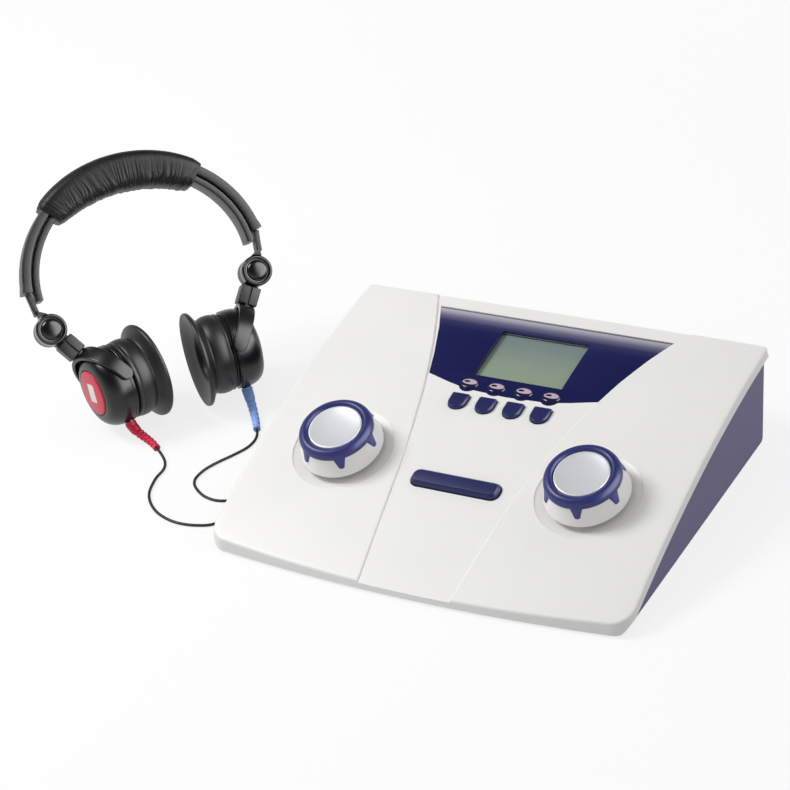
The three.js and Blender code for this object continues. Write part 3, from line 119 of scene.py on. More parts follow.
def new_material(name, surface):
    """A bare material with the even values of its surface, and the object's coordinates in metres."""
    material = bpy.data.materials.new(name)
    material.use_nodes = True
    tree = material.node_tree
    tree.nodes.clear()
    shader = add_node(tree, "ShaderNodeBsdfPrincipled", surface)
    add_node(tree, "ShaderNodeOutputMaterial", {0: shader.outputs[0]})
    place = add_node(tree, "ShaderNodeTexCoord").outputs["Object"]
    return material, tree, shader, place


def moulded(name, colour, roughness, grain, depth, cloud=0.04, coat=0.0, specular=0.5, metallic=0.0):
    """A moulded or cast material: grain of a size and depth in millimetres, slow changes of tone, and polish
    that varies a little over the surface."""
    surface = {"Metallic": metallic, "IOR": 1.5, "Specular IOR Level": specular, "Coat Weight": coat}
    material, tree, shader, place = new_material(name, {**surface, "Coat Roughness": 0.12})
    slow = add_node(tree, "ShaderNodeTexNoise", {"Vector": place, "Scale": 18.0, "Detail": 3.0})
    fine = add_node(tree, "ShaderNodeTexNoise", {"Vector": place, "Scale": 1000.0 / grain, "Detail": 2.0})
    tone = add_node(tree, "ShaderNodeValToRGB", {0: slow.outputs[0]})
    base = srgb(colour)
    for stop, position, share in zip(tone.color_ramp.elements, (0.3, 0.7), (1 - cloud, 1 + cloud)):
        stop.position = position
        stop.color = [min(part * share, 1) for part in base[:3]] + [1]
    between = {0: slow.outputs[0], 3: roughness - 0.04, 4: roughness + 0.05}
    polish = add_node(tree, "ShaderNodeMapRange", between)
    relief = {"Strength": 0.35, "Distance": depth * 0.001, "Height": fine.outputs[0]}
    bump = add_node(tree, "ShaderNodeBump", relief)
    tree.links.new(tone.outputs[0], shader.inputs["Base Color"])
    tree.links.new(polish.outputs[0], shader.inputs["Roughness"])
    tree.links.new(bump.outputs[0], shader.inputs["Normal"])
    return material


def top_height(y):
    share = (y + HALF_DEPTH) / (2 * HALF_DEPTH)
    return FRONT_EDGE + (REAR_EDGE - FRONT_EDGE) * share + 4 * CROWN * share * (1 - share)


def top_slope(y):
    share = (y + HALF_DEPTH) / (2 * HALF_DEPTH)
    return math.atan((REAR_EDGE - FRONT_EDGE + 4 * CROWN * (1 - 2 * share)) / (2 * HALF_DEPTH))


def on_top(x, y, sink=0.0):
    """The place of something set square into the cover's surface."""
    square = Matrix.Rotation(top_slope(y), 4, "X")
    return Matrix.Translation((x, y, top_height(y))) @ square @ Matrix.Translation((0, 0, -sink))


def plan_outline(inset):
    """The console seen from above, from the front left corner anticlockwise, drawn in by an inset."""
    points = []

    def corner(x, y, radius, start):
        for k in range(10):
            angle = math.radians(start + 9 * k)
            points.append((x + radius * math.cos(angle), y + radius * math.sin(angle)))

    side, end = HALF_WIDTH - inset, HALF_DEPTH - inset
    front, rear = max(FRONT_CORNER - inset, LEAST_CORNER), max(REAR_CORNER - inset, LEAST_CORNER)
    front_x, front_y, rear_x, rear_y = side - front, end - front, side - rear, end - rear
    for k in range(48):
        share = k / 48
        points.append(((2 * share - 1) * front_x, -end - FRONT_BULGE * 4 * share * (1 - share)))
    corner(front_x, -front_y, front, -90)
    points += [(side, -front_y + k / 24 * (front_y + rear_y)) for k in range(24)]
    corner(rear_x, rear_y, rear, 0)
    for k in range(32):
        share = k / 32
        points.append(((1 - 2 * share) * rear_x, end + REAR_BULGE * 4 * share * (1 - share)))
    corner(-rear_x, rear_y, rear, 90)
    points += [(-side, rear_y - k / 24 * (front_y + rear_y)) for k in range(24)]
    corner(-front_x, -front_y, front, 180)
    return points


def outward(mesh):
    """Doubles merged and every face turned outwards."""
    work = bmesh.new()
    work.from_mesh(mesh)
    bmesh.ops.remove_doubles(work, verts=work.verts, dist=1e-4)
    bmesh.ops.recalc_face_normals(work, faces=work.faces)
    work.to_mesh(mesh)
    work.free()
    return mesh


def skinned(rings, start=None, end=None):
    """Rings of points joined in order, with a flat end or a point at each end."""
    count = len(rings[0])
    points = [Vector(point) for ring in rings for point in ring]
    faces = []
    for base in range(0, count * (len(rings) - 1), count):
        for i in range(count):
            j = (i + 1) % count
            faces.append((base + i, base + j, base + count + j, base + count + i))
    for tip, base in ((start, 0), (end, count * (len(rings) - 1))):
        if tip is None:
            faces.append(tuple(range(base, base + count)))
        else:
            points.append(Vector(tip))
            faces += [(base + i, base + (i + 1) % count, len(points) - 1) for i in range(count)]
    mesh = bpy.data.meshes.new("shape")
    mesh.from_pydata(points, [], faces)
    return outward(mesh)


def prism(outline, low, high):
    return skinned([[(x, y, z) for x, y in outline] for z in (low, high)])


def block(width, depth, low, high, x=0.0, y=0.0):
    w, d = width / 2, depth / 2
    return prism([(x - w, y - d), (x + w, y - d), (x + w, y + d), (x - w, y + d)], low, high)


def turned(profile, sides=96):
    """A profile of (radius, height) points turned about Z, closed at the axis or back to its start."""
    circle = [(math.cos(2 * math.pi * k / sides), math.sin(2 * math.pi * k / sides)) for k in range(sides)]
    rings = [[(radius * c, radius * s, z) for c, s in circle] for radius, z in profile if radius > 0]
    if profile[0][0] == 0:
        return skinned(rings, (0, 0, profile[0][1]), (0, 0, profile[-1][1]))
    mesh = skinned(rings + rings[:1])
    work = bmesh.new()
    work.from_mesh(mesh)
    inside = [face for face in work.faces if len(face.verts) > 4]
    bmesh.ops.delete(work, geom=inside, context="FACES_ONLY")
    bmesh.ops.recalc_face_normals(work, faces=work.faces)
    work.to_mesh(mesh)
    work.free()
    return mesh


def placed(mesh, place):
    mesh.transform(place)
    return mesh


def modified(mesh, kind, **settings):
    """The mesh as one modifier leaves it."""
    body = bpy.data.objects.new("modified", mesh)
    scene.collection.objects.link(body)
    step = body.modifiers.new("step", kind)
    for name, value in settings.items():
        setattr(step, name, value)
    result = bpy.data.meshes.new_from_object(body.evaluated_get(bpy.context.evaluated_depsgraph_get()))
    bpy.data.objects.remove(body)
    return result


def carved(mesh, tools, operation="DIFFERENCE"):
    """The mesh with every tool cut from it, joined to it or kept in common with it."""
    group = bpy.data.collections.new("tools")
    scene.collection.children.link(group)
    for tool in tools:
        group.objects.link(bpy.data.objects.new("tool", tool))
    result = modified(mesh, "BOOLEAN", operation=operation, solver="EXACT", operand_type="COLLECTION",
                      collection=group)
    for tool in list(group.objects):
        bpy.data.objects.remove(tool)
    bpy.data.collections.remove(group)
    return result


def eased_edges(mesh, radius, segments=3, sharper_than=35):
    """The mesh with its sharp edges rounded."""
    return modified(mesh, "BEVEL", width=radius, segments=segments, limit_method="ANGLE",
                    angle_limit=math.radians(sharper_than), harden_normals=False)


def finished(name, mesh, material, body, nodes, place=TO_ROW, crease=32):
    """The piece as it is kept: placed in its mesh, smooth but for its creases, and riding on its body."""
    mesh.transform(place)
    mesh.name = name
    mesh.materials.clear()
    mesh.materials.append(material)
    mesh.shade_smooth()
    mesh.set_sharp_from_angle(angle=math.radians(crease))
    piece = bpy.data.objects.new(name, mesh)
    scene.collection.objects.link(piece)
    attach(piece, body)
    if nodes:
        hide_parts(*nodes)
    return piece


# Navy ABS with a fine spark-eroded grain, which scatters the light into a dull violet sheen
base_abs = moulded("base_abs_navy", "#3d3760", 0.5, 0.9, 0.03, cloud=0.03)


def base_tray(inward, rise):
    """The tray's outside, or its inside drawn in by the wall, as a solid."""
    foot, bottom, front = HALF_DEPTH - FOOT_INSET - inward, TRAY_BOTTOM + inward, -HALF_DEPTH - 12
    section = [(front, bottom)]
    for k in range(10):
        angle = math.radians(-90 + 10 * k)
        section.append((foot - HEEL + HEEL * math.cos(angle), bottom + HEEL + HEEL * math.sin(angle)))
    rear_top = foot + math.tan(REAR_LEAN) * (REAR_EDGE - TRAY_BOTTOM)
    for k in range(41):
        y = rear_top + (front - rear_top) * k / 40
        section.append((y, max(top_height(y) + rise, TRAY_FRONT_HEIGHT)))
    side_on = skinned([[(x, y, z) for y, z in section] for x in (-HALF_WIDTH, HALF_WIDTH)])
    draft = ((-0.7, 4.08), (REAR_EDGE, 1.5))
    walls = [[(x, y, z) for x, y in plan_outline(inset + inward)] for z, inset in draft]
    return carved(skinned(walls), [side_on], "INTERSECT")


base = carved(base_tray(0, -WALL - GAP), [base_tray(TRAY_WALL, 20)])
socket_cut = turned([(0, -10), (8.3, -10), (8.3, 10), (0, 10)], 48)
socket_cut = placed(socket_cut, Matrix.Rotation(math.pi / 2, 4, "X"))
rear_cuts = [
    placed(socket_cut, Matrix.Translation((SOCKET_X, 0, FITTING_HEIGHT))),
    block(15.6, 20, 18.7, 31.3, x=INLET_X),
    block(20.6, 20, 17.1, 32.9, x=ROCKER_X),
    block(24, 2, 23.8, 26.2, x=ROCKER_X, y=-1.1),
]
base = carved(base, [placed(cut, rear_place) for cut in rear_cuts])
well = [(0, -10), (3.1, -10), (3.1, 2.8), (1.8, 2.9), (1.8, 5), (0, 5)]
screw_spots = [(-118, -91.5), (118, -91.5), (-123, 85.5), (123, 85.5)]
base = carved(base, [placed(turned(well, 24), Matrix.Translation((x, y, 0))) for x, y in screw_spots])
finished("base_shell_tray", base, base_abs, "console", ["base_shell"])


# Feet and screws: four rubber pads pressed into the tray, and four pan-headed steel screws with a cross
# recess, sunk in their wells and driven up into the cover's bosses.
def new_tree(name, kind, *sizes):
    """An empty tree: a piece, its sizes and its finish go in, and the pieces come out."""
    tree = bpy.data.node_groups.new(name, "GeometryNodeTree")
    tree.interface.new_socket("Piece", in_out="INPUT", socket_type="NodeSocketGeometry")
    for size in sizes:
        tree.interface.new_socket(size, in_out="INPUT", socket_type=kind)
    tree.interface.new_socket("Finish", in_out="INPUT", socket_type="NodeSocketMaterial")
    tree.interface.new_socket("Pieces", in_out="OUTPUT", socket_type="NodeSocketGeometry")
    return tree, add_node(tree, "NodeGroupInput").outputs


def copies_on(tree, given, spots):
    """The tree's last steps: a copy of the piece at every spot, made real and given its finish."""
    copies = add_node(tree, "GeometryNodeInstanceOnPoints", {"Instance": given["Piece"], **spots})
    real = add_node(tree, "GeometryNodeRealizeInstances", {0: copies.outputs[0]})
    coating = {"Geometry": real.outputs[0], "Material": given["Finish"]}
    coated = add_node(tree, "GeometryNodeSetMaterial", coating)
    add_node(tree, "NodeGroupOutput", {0: coated.outputs[0]})
    return tree


def at_corners():
    """A tree that puts the piece it is given at the four corners of a rectangle, splayed at the rear."""
    sizes = ("Half width", "Half depth", "Rearward", "Splay")
    tree, given = new_tree("at_four_corners", "NodeSocketFloat", *sizes)

    def work(operation, first, second):
        return add_node(tree, "ShaderNodeMath", {0: first, 1: second}, operation=operation).outputs[0]

    index = add_node(tree, "GeometryNodeInputIndex").outputs[0]
    across = work("SUBTRACT", work("MULTIPLY", work("MODULO", index, 2.0), 2.0), 1.0)
    rearward = work("SUBTRACT", work("MULTIPLY", work("FLOOR", work("DIVIDE", index, 2.0), 0.0), 2.0), 1.0)
    x = work("MULTIPLY", across, work("ADD", given["Half width"], work("MULTIPLY", rearward, given["Splay"])))
    y = work("ADD", given["Rearward"], work("MULTIPLY", rearward, given["Half depth"]))
    spot = add_node(tree, "ShaderNodeCombineXYZ", {0: x, 1: y}).outputs[0]
    points = add_node(tree, "GeometryNodePoints", {"Count": 4, "Position": spot}).outputs[0]
    return copies_on(tree, given, {"Points": points})


def grown(mesh, tree, **values):
    """What a tree makes of the mesh, as a plain mesh. Each value goes to the input of its name."""
    body = bpy.data.objects.new("grown", mesh)
    scene.collection.objects.link(body)
    step = body.modifiers.new("grow", "NODES")
    step.node_group = tree
    for item in tree.interface.items_tree:
        written = item.name.lower().replace(" ", "_")
        if item.in_out == "INPUT" and written in values:
            step[item.identifier] = values[written]
    result = bpy.data.meshes.new_from_object(body.evaluated_get(bpy.context.evaluated_depsgraph_get()))
    body.modifiers.remove(step)
    bpy.data.objects.remove(body)
    return result


# Black nitrile rubber: dull, with a coarse bloom
foot_rubber = moulded("foot_nitrile_rubber", "#1d1d1f", 0.85, 0.5, 0.04, specular=0.3)
# Zinc-plated steel: a grey bright metal with a slightly uneven polish
zinc_steel = moulded("screw_zinc_steel", "#b4b8bd", 0.32, 1.2, 0.01, metallic=1.0)
corners = at_corners()
foot = turned([(0, 0), (5.2, 0), (5.8, 0.2), (6.0, 0.6), (6.0, 1.2), (0, 1.2)], 48)
feet = grown(foot, corners, half_width=121.0, half_depth=93.5, rearward=0.0, splay=0.0, finish=foot_rubber)
finished("console_feet", feet, foot_rubber, "console", [f"foot_{k}" for k in (1, 2, 3, 4)])
head = turned([(0, 1.8), (2.2, 1.8), (2.7, 2.0), (2.8, 2.5), (1.5, 2.6), (1.5, 8.0), (0, 8.6)], 32)
cross = [block(3.2, 0.7, 1.0, 2.3), block(0.7, 3.2, 1.0, 2.3)]
screw = carved(head, cross)
screws = grown(screw, corners, half_width=120.5, half_depth=88.5, rearward=-3.0, splay=2.5, finish=zinc_steel)
screw_nodes = [f"base_screw_{k}" for k in (1, 2, 3, 4)]
finished("base_screws", screws, zinc_steel, "console", screw_nodes)


# Main board: green glass-epoxy laminate that lies on four posts of the tray, with black packages soldered to
# it. It can't be seen in the closed console.
def keep_solids(material, *nodes):
    """Parts whose modelled solid is already right keep it, and get their finish."""
    for node in nodes:
        for holder in bpy.data.objects[node].material_slots:
            holder.material = material


board_laminate = moulded("board_green_laminate", "#235c38", 0.38, 2.5, 0.03, cloud=0.12)
keep_solids(board_laminate, "main_board")


# Rear fittings: the supply inlet and the headset socket are black nylon mouldings pressed in from outside,
# and the power rocker turns on two pins in the rear wall.
fitting_nylon = moulded("fitting_black_nylon", "#1c1c1e", 0.42, 0.6, 0.02, cloud=0.06)
inlet = carved(eased_edges(block(18.2, 15.2, 0.3, 1.9), 0.7), [block(15, 12, -11.2, 1.0)], "UNION")
inlet = carved(inlet, [block(10, 7.5, -6.8, 3.0)])
pin = turned([(0, -7.4), (1.0, -7.4), (1.0, -1.2), (0.7, -0.6), (0, -0.4)], 24)
inlet = carved(inlet, [pin], "UNION")
outward_face = Matrix.Rotation(-math.pi / 2, 4, "X")
finished("supply_inlet", inlet, fitting_nylon, "console", ["dc_inlet"],
         TO_ROW @ rear_place @ Matrix.Translation((INLET_X, 0, FITTING_HEIGHT)) @ outward_face)

rocker_face = [
    (0, 4.71), (6.08, 4.41), (6.08, 1.52), (4.18, -5.32), (-4.18, -5.32), (-6.08, 3.04), (-6.08, 4.48),
]
rocker = skinned([[(x, y, z) for z, y in rocker_face] for x in (-10, 10)])
rocker = eased_edges(rocker, 0.45)
rocker_pin = turned([(0, -11.6), (0.8, -11.6), (0.8, 11.6), (0, 11.6)], 24)
rocker_pin = placed(rocker_pin, Matrix.Rotation(math.pi / 2, 4, "Y"))
rocker = carved(rocker, [rocker_pin], "UNION")
finished("power_rocker_button", rocker, fitting_nylon, "power_rocker_arm", ["power_rocker"],
         TO_ROW @ rear_place @ Matrix.Translation((ROCKER_X, -1.1, FITTING_HEIGHT)))

socket = turned([
    (3.4, -26.3), (3.4, 2.3), (3.7, 2.5), (6.2, 2.5), (6.5, 2.2), (6.9, 1.5), (9.4, 1.4), (9.8, 1.1),
    (10, 0.6), (10, 0.3), (8, 0.3), (8, -30), (3.4, -30),
], 64)
socket_plug = turned([(0, -30), (4, -30), (4, -26.3), (0, -26.3)], 32)
socket = carved(socket, [socket_plug], "UNION")
finished("headset_socket", socket, fitting_nylon, "console", ["phones_socket"],
         TO_ROW @ rear_place @ Matrix.Translation((SOCKET_X, 0, FITTING_HEIGHT)) @ outward_face)


# Top cover: one white ABS moulding over the base, a wedge with a shallow crown, a rounded rim with a small
# lip, a sunk middle panel between two curved steps, and a round dish under each knob.
RIM = 1.3
LIP, REAR_LIP, FRONT_LIP = 6, 8, 10
CHANNEL_SINK = 1.2
THROUGH = (-20, 100)


def smooth_path(points, steps=6):
    """A rounded line through the points, evenly eased from one to the next."""
    points = [Vector(point) for point in points]
    line = []
    for i in range(len(points) - 1):
        before = points[i - 1] if i else 2 * points[0] - points[1]
        after = points[i + 2] if i + 2 < len(points) else 2 * points[i + 1] - points[i]
        corners = [before, points[i], points[i + 1], after]
        at = [0.0]
        for first, second in zip(corners, corners[1:]):
            at.append(at[-1] + math.sqrt((second - first).length))
        for k in range(steps):
            here = at[1] + (at[2] - at[1]) * k / steps
            level = corners
            for reach in (1, 2):
                level = [
                    level[n] + (level[n + 1] - level[n]) * ((here - at[n]) / (at[n + reach] - at[n]))
                    for n in range(len(level) - 1)
                ]
            line.append(level[0] + (level[1] - level[0]) * ((here - at[1]) / (at[2] - at[1])))
    line.append(points[-1])
    return line


def slab(above, below, rows=90):
    """A slice that follows the cover's top between two offsets from it."""
    reach = HALF_DEPTH + 20
    side = [-reach + 2 * reach * k / rows for k in range(rows + 1)]
    section = [(y, top_height(y) + below) for y in side] + [(y, top_height(y) + above) for y in side[::-1]]
    return skinned([[(x, y, z) for y, z in section] for x in (-HALF_WIDTH - 20, HALF_WIDTH + 20)])


# White ABS with a fine spark-eroded grain: satin, and a little warmer where it is thick
cover_abs = moulded("cover_abs_white", "#eeede9", 0.42, 0.8, 0.02, cloud=0.012)


def cover_ring(inset, height, share=1.0):
    return [(x * share, y * share, height(y * share)) for x, y in plan_outline(inset)]


def lip_bottom(y):
    """The lip is shallow along the sides, deeper behind, and reaches the table in front."""
    rearward = min(max((y - HALF_DEPTH + REAR_CORNER) / REAR_CORNER, 0), 1)
    forward = min(max(2 * (-y - HALF_DEPTH) / FRONT_CORNER + 1, 0), 1)
    bottom = top_height(y) - LIP - (REAR_LIP - LIP) * rearward - (FRONT_LIP - LIP) * forward
    return max(bottom, TRAY_BOTTOM)


rim_rings = []
for k in range(7):
    bend = math.radians(15 * k)
    fall = RIM * (1 - math.cos(bend))
    rim_rings.append(cover_ring(RIM * (1 - math.sin(bend)), lambda y: top_height(y) - fall))
cover = skinned(
    [cover_ring(RIM, top_height, k / 40) for k in range(1, 40)]
    + rim_rings
    + [
        cover_ring(-0.8, lambda y: lip_bottom(y) + 0.4),
        cover_ring(-0.5, lip_bottom),
        cover_ring(0.4, lip_bottom),
        cover_ring(1.2, lambda y: top_height(y) - WALL),
    ]
    + [cover_ring(1.2, lambda y: top_height(y) - WALL, share / 8) for share in range(7, 0, -1)],
    (0, 0, top_height(0)),
    (0, 0, top_height(0) - WALL),
)

seam_shares = [
    (0.695, 1.15), (0.63, 0.987), (0.494, 0.589), (0.391, 0.197), (0.298, -0.319), (0.253, -0.721),
    (0.206, -1.2),
]
seam = smooth_path([(out * HALF_WIDTH, back * HALF_DEPTH, 0) for out, back in seam_shares])
channel_plan = [(-point.x, point.y) for point in seam[::-1]] + [(point.x, point.y) for point in seam]

KEY_PITCH, KEY_Y = 19.4, 17.8
KEY_HALF, KEY_BACK, KEY_CHAMFER = 6.2, 6.6, 0.8
LENS_Y, LENS_RADIUS = 35.2, 6.8
KNOB_X, KNOB_Y, BAR_Y, SCREEN_Y = 86, -35.3, -46, 65.15
DISPLAY_CORNER = (60.2, 38.9)
key_spots = [(k - 1.5) * KEY_PITCH for k in range(4)]
display_side = [(84.5, 104.7), (75.1, 83.1), (66.2, 58.7), DISPLAY_CORNER]


def display_front(x):
    """The display's front edge: a shallow point, scalloped round its four lenses."""
    edge = [(0, 29.3), (29.0, 30.8), (43.0, 34.0), DISPLAY_CORNER]
    for (x0, y0), (x1, y1) in zip(edge, edge[1:]):
        if x0 <= abs(x) <= x1:
            front = y0 + (y1 - y0) * (abs(x) - x0) / (x1 - x0)
            break
    for spot in key_spots:
        if abs(x - spot) < LENS_RADIUS:
            front = min(front, LENS_Y - math.sqrt(LENS_RADIUS**2 - (x - spot) ** 2))
    return front


def display_plan(margin):
    """The display from above, grown by a margin, with its front edge in steps of half a millimetre."""
    end = DISPLAY_CORNER[0]
    right = [(x + margin, y + (margin if k == 0 else 0)) for k, (x, y) in enumerate(display_side)]
    front = [(x / 2, display_front(min(max(x / 2, -end), end)) - margin) for x in range(120, -121, -1)]
    return [(-x, y) for x, y in right[::-1]] + right + front


def key_plan(margin):
    """A soft key from above: straight at the back and round at the front."""
    half = KEY_HALF + margin
    back = KEY_BACK + margin
    turns = [math.radians(-9 * k) for k in range(21)]
    front = [(half * math.cos(turn), -0.4 + half * math.sin(turn)) for turn in turns]
    left = [(-half, back - KEY_CHAMFER), (-half + KEY_CHAMFER, back)]
    right = [(half - KEY_CHAMFER, back), (half, back - KEY_CHAMFER)]
    return left + right + front


def bar_plan(margin, width=61.0, depth=12.0, radius=5.0):
    """The talk bar from above: a long rounded rectangle."""
    points = []
    for start, sx, sy in ((0, 1, 1), (90, -1, 1), (180, -1, -1), (270, 1, -1)):
        for k in range(9):
            angle = math.radians(start + 11.25 * k)
            points.append((
                sx * (width / 2 - radius) + (radius + margin) * math.cos(angle),
                sy * (depth / 2 - radius) + (radius + margin) * math.sin(angle),
            ))
    return points


knob_places = {"left": on_top(-KNOB_X, KNOB_Y), "right": on_top(KNOB_X, KNOB_Y)}
screen_place = on_top(0, SCREEN_Y)
backing = carved(prism(display_plan(1.4), *THROUGH), [slab(-0.3, -6)], "INTERSECT")
boss = [(0, -6), (36, -6), (36, -1.3), (0, -1.3)]
dish_bosses = [placed(turned(boss, 72), place) for place in knob_places.values()]
cover = carved(cover, [backing, *dish_bosses], "UNION")
channel = carved(prism(channel_plan, *THROUGH), [slab(20, -CHANNEL_SINK)], "INTERSECT")

# Both steps of the sunk panel are chamfered by a three-cornered strip that is cut along them
brink_corners = ((-0.3, 0.25), (1.05, 0.25), (-0.3, -0.85))
brinks = []
for side in (-1, 1):
    sections = []
    for point in seam:
        level = top_height(point.y)
        sections.append([(side * (point.x + out), point.y, level + rise) for out, rise in brink_corners])
    brinks.append(skinned(sections))
cover = carved(cover, [channel, *brinks])
pocket = carved(prism(display_plan(0.35), *THROUGH), [slab(20, -3.8)], "INTERSECT")
key_holes = [placed(prism(key_plan(0.45), -8, 8), on_top(x, KEY_Y, CHANNEL_SINK)) for x in key_spots]
bar_slot = placed(prism(bar_plan(0.9), -8, 8), on_top(0, BAR_Y, CHANNEL_SINK))
dish = [(0, 10), (34.3, 10), (34.0, 0.0), (33.6, -0.6), (32.8, -1.0), (31.5, -1.3), (24.5, -2.7), (0, -2.8)]
dishes = [placed(turned(dish, 144), place) for place in knob_places.values()]
cover = carved(cover, [pocket, *key_holes, bar_slot, *dishes])
screen_hole = placed(block(66, 50.3, -20, 20), screen_place)
bush_hole = [(0, -20), (4.5, -20), (4.5, 10), (0, 10)]
bush_holes = [placed(turned(bush_hole, 24), place) for place in knob_places.values()]
cover = carved(cover, [screen_hole, *bush_holes])
finished("top_cover_shell", cover, cover_abs, "console", ["top_cover"], crease=24)


# Liquid crystal display: a glass cell with a grey-green polariser in a dark olive frame, set deep behind the
# window's opening, on the module that the cover's underside holds.
lcd_frame_abs = moulded("lcd_frame_olive_abs", "#2b2e2c", 0.5, 0.6, 0.02)
CELL_BACK = 0.65
lcd_rim = carved(block(65.6, 49.9, -7.6, -4.3), [block(61.6, 47.2, -6.0, 0, y=CELL_BACK)])
lcd_rim = carved(eased_edges(lcd_rim, 0.3), [block(74, 58, -12.9, -6.9)], "UNION")
finished("lcd_module_frame", lcd_rim, lcd_frame_abs, "console", [], TO_ROW @ screen_place)


def cell_polariser():
    """Glass over a matt grey-green polariser, with the faint lattice of its dots. It is greener towards the
    wearer, and painted shade and a painted reflection of the navy window make it darker and bluer under its
    rear edge."""
    material, tree, shader, place = new_material("lcd_polariser_glass", {"Roughness": 0.28, "IOR": 1.5})
    across = add_node(tree, "ShaderNodeSeparateXYZ", {0: place})
    slow = add_node(tree, "ShaderNodeTexNoise", {"Vector": place, "Scale": 45.0, "Detail": 2.0})
    # Painted shade and reflection: the tone darkens and turns bluer towards the rear of the opening
    reach = add_node(tree, "ShaderNodeMapRange", {0: across.outputs[1], 1: 0.040, 2: 0.088}).outputs[0]
    mottle_and_painted_shade = {0: slow.outputs[0], 1: 0.25, 2: reach}
    mottle_and_painted_shade = add_node(tree, "ShaderNodeMath", mottle_and_painted_shade, operation="MULTIPLY_ADD")
    tone = add_node(tree, "ShaderNodeValToRGB", {0: mottle_and_painted_shade.outputs[0]})
    stops = tone.color_ramp.elements
    for position, colour in ((0.12, "#93a48a"), (0.6, "#8b9b8a"), (0.95, "#7d8c88")):
        stop = stops.new(position)
        stop.color = srgb(colour)
    stops.remove(stops[-1])
    stops.remove(stops[0])
    dots = add_node(tree, "ShaderNodeTexWave", {"Vector": place, "Scale": 330.0})
    across_dots = add_node(tree, "ShaderNodeTexWave", {"Vector": place, "Scale": 330.0}, bands_direction="Y")
    both = {0: dots.outputs[1], 1: across_dots.outputs[1]}
    lattice = add_node(tree, "ShaderNodeMath", both, operation="MAXIMUM")
    fade = add_node(tree, "ShaderNodeMapRange", {0: lattice.outputs[0], 3: 0.97, 4: 1.0})
    shaded = add_node(tree, "ShaderNodeMix", {0: 1.0, 6: tone.outputs[0], 7: fade.outputs[0]},
                      data_type="RGBA", blend_type="MULTIPLY")
    tree.links.new(shaded.outputs[2], shader.inputs["Base Color"])
    return material


lcd_cell = block(61.5, 47.1, -6.2, -4.75, y=CELL_BACK)
finished("lcd_cell", lcd_cell, cell_polariser(), "console", ["lcd_module"],
         TO_ROW @ screen_place)


# Display window: a polycarbonate panel printed navy from behind, with a pale painted reflection fading in
# along its rear edge, and a square opening for the display. It is glued in the cover's pocket, and four lens
# domes stand on its front.
def printed_window_and_reflection():
    """Second-surface print under clear polycarbonate: deep, even navy with a sharp reflection over it, and a
    pale painted reflection fading in towards the rear edge, darker again at the very edge.
    """
    surface = {"Roughness": 0.16, "IOR": 1.58, "Specular IOR Level": 0.3}
    material, tree, shader, place = new_material("window_printed_polycarbonate", surface)
    rear = add_node(tree, "ShaderNodeSeparateXYZ", {0: place}).outputs[1]
    fade = add_node(tree, "ShaderNodeMapRange", {0: rear, 1: 0.0765, 2: 0.1027}).outputs[0]
    tone = add_node(tree, "ShaderNodeValToRGB", {0: fade})
    stops = tone.color_ramp.elements
    stops[0].color = srgb("#1a1e50")
    # Painted reflection: the pale stops fade in towards the rear edge, and the last stop darkens the very
    # edge
    fading = ((0.3, "#1e2254"), (0.55, "#35355f"), (0.75, "#6d6a86"), (0.9, "#a4a0ae"), (0.985, "#b4b0ba"))
    for position, colour in fading:
        stops.new(position).color = srgb(colour)
    stops[-1].color = srgb("#6a6876")
    tree.links.new(tone.outputs[0], shader.inputs["Base Color"])
    wavy = add_node(tree, "ShaderNodeTexNoise", {"Vector": place, "Scale": 60.0, "Detail": 1.0})
    relief = {"Strength": 0.25, "Distance": 0.00004, "Height": wavy.outputs[0]}
    tree.links.new(add_node(tree, "ShaderNodeBump", relief).outputs[0], shader.inputs["Normal"])
    return material


window_print_and_reflection = printed_window_and_reflection()
WINDOW_SINK = CHANNEL_SINK + 0.3
panel = carved(prism(display_plan(0), *THROUGH), [slab(-WINDOW_SINK, -WINDOW_SINK - 2)], "INTERSECT")
panel = carved(panel, [placed(block(63, 46.2, -20, 20, x=0.8, y=1.9), screen_place)])
panel = eased_edges(panel, 0.3, segments=2, sharper_than=50)
finished("display_window_panel", panel, window_print_and_reflection, "console", ["display_window"])


def painted_lens_reflection():
    """A clear dome over navy print, with a painted reflection on it: a pale pink oval with a dark spot left
    of its middle.
    """
    material, tree, shader, _ = new_material("lens_printed_dome", {"Roughness": 0.12, "IOR": 1.49})
    local = add_node(tree, "ShaderNodeUVMap", uv_map="lens").outputs[0]

    def oval(x, y, width, height):
        fitting = {0: local, 1: (-x / width, -y / height, 0), 3: (1 / width, 1 / height, 1)}
        centred = add_node(tree, "ShaderNodeMapping", fitting)
        away = add_node(tree, "ShaderNodeVectorMath", {0: centred.outputs[0]}, operation="LENGTH").outputs[1]
        return add_node(tree, "ShaderNodeMapRange", {0: away, 1: 1.06, 2: 0.94}).outputs[0]

    # Painted reflection: the pale oval, with the dark spot cut from it
    pale, spot = oval(0.02, 0.12, 0.82, 0.5), oval(-0.28, 0.14, 0.36, 0.2)
    ring = add_node(tree, "ShaderNodeMath", {0: pale, 1: spot}, operation="SUBTRACT", use_clamp=True)
    tone = add_node(tree, "ShaderNodeMix", {0: ring.outputs[0], 6: srgb("#1e1d45"), 7: srgb("#c6b0c0")},
                    data_type="RGBA")
    tree.links.new(tone.outputs[2], shader.inputs["Base Color"])
    return material


def mapped_from_above(mesh, name, radius):
    """The mesh with a map that runs from -1 to 1 across a disc of this radius."""
    layer = mesh.uv_layers.new(name=name)
    for loop in mesh.loops:
        point = mesh.vertices[loop.vertex_index].co
        layer.data[loop.index].uv = (point.x / radius, point.y / radius)
    return mesh


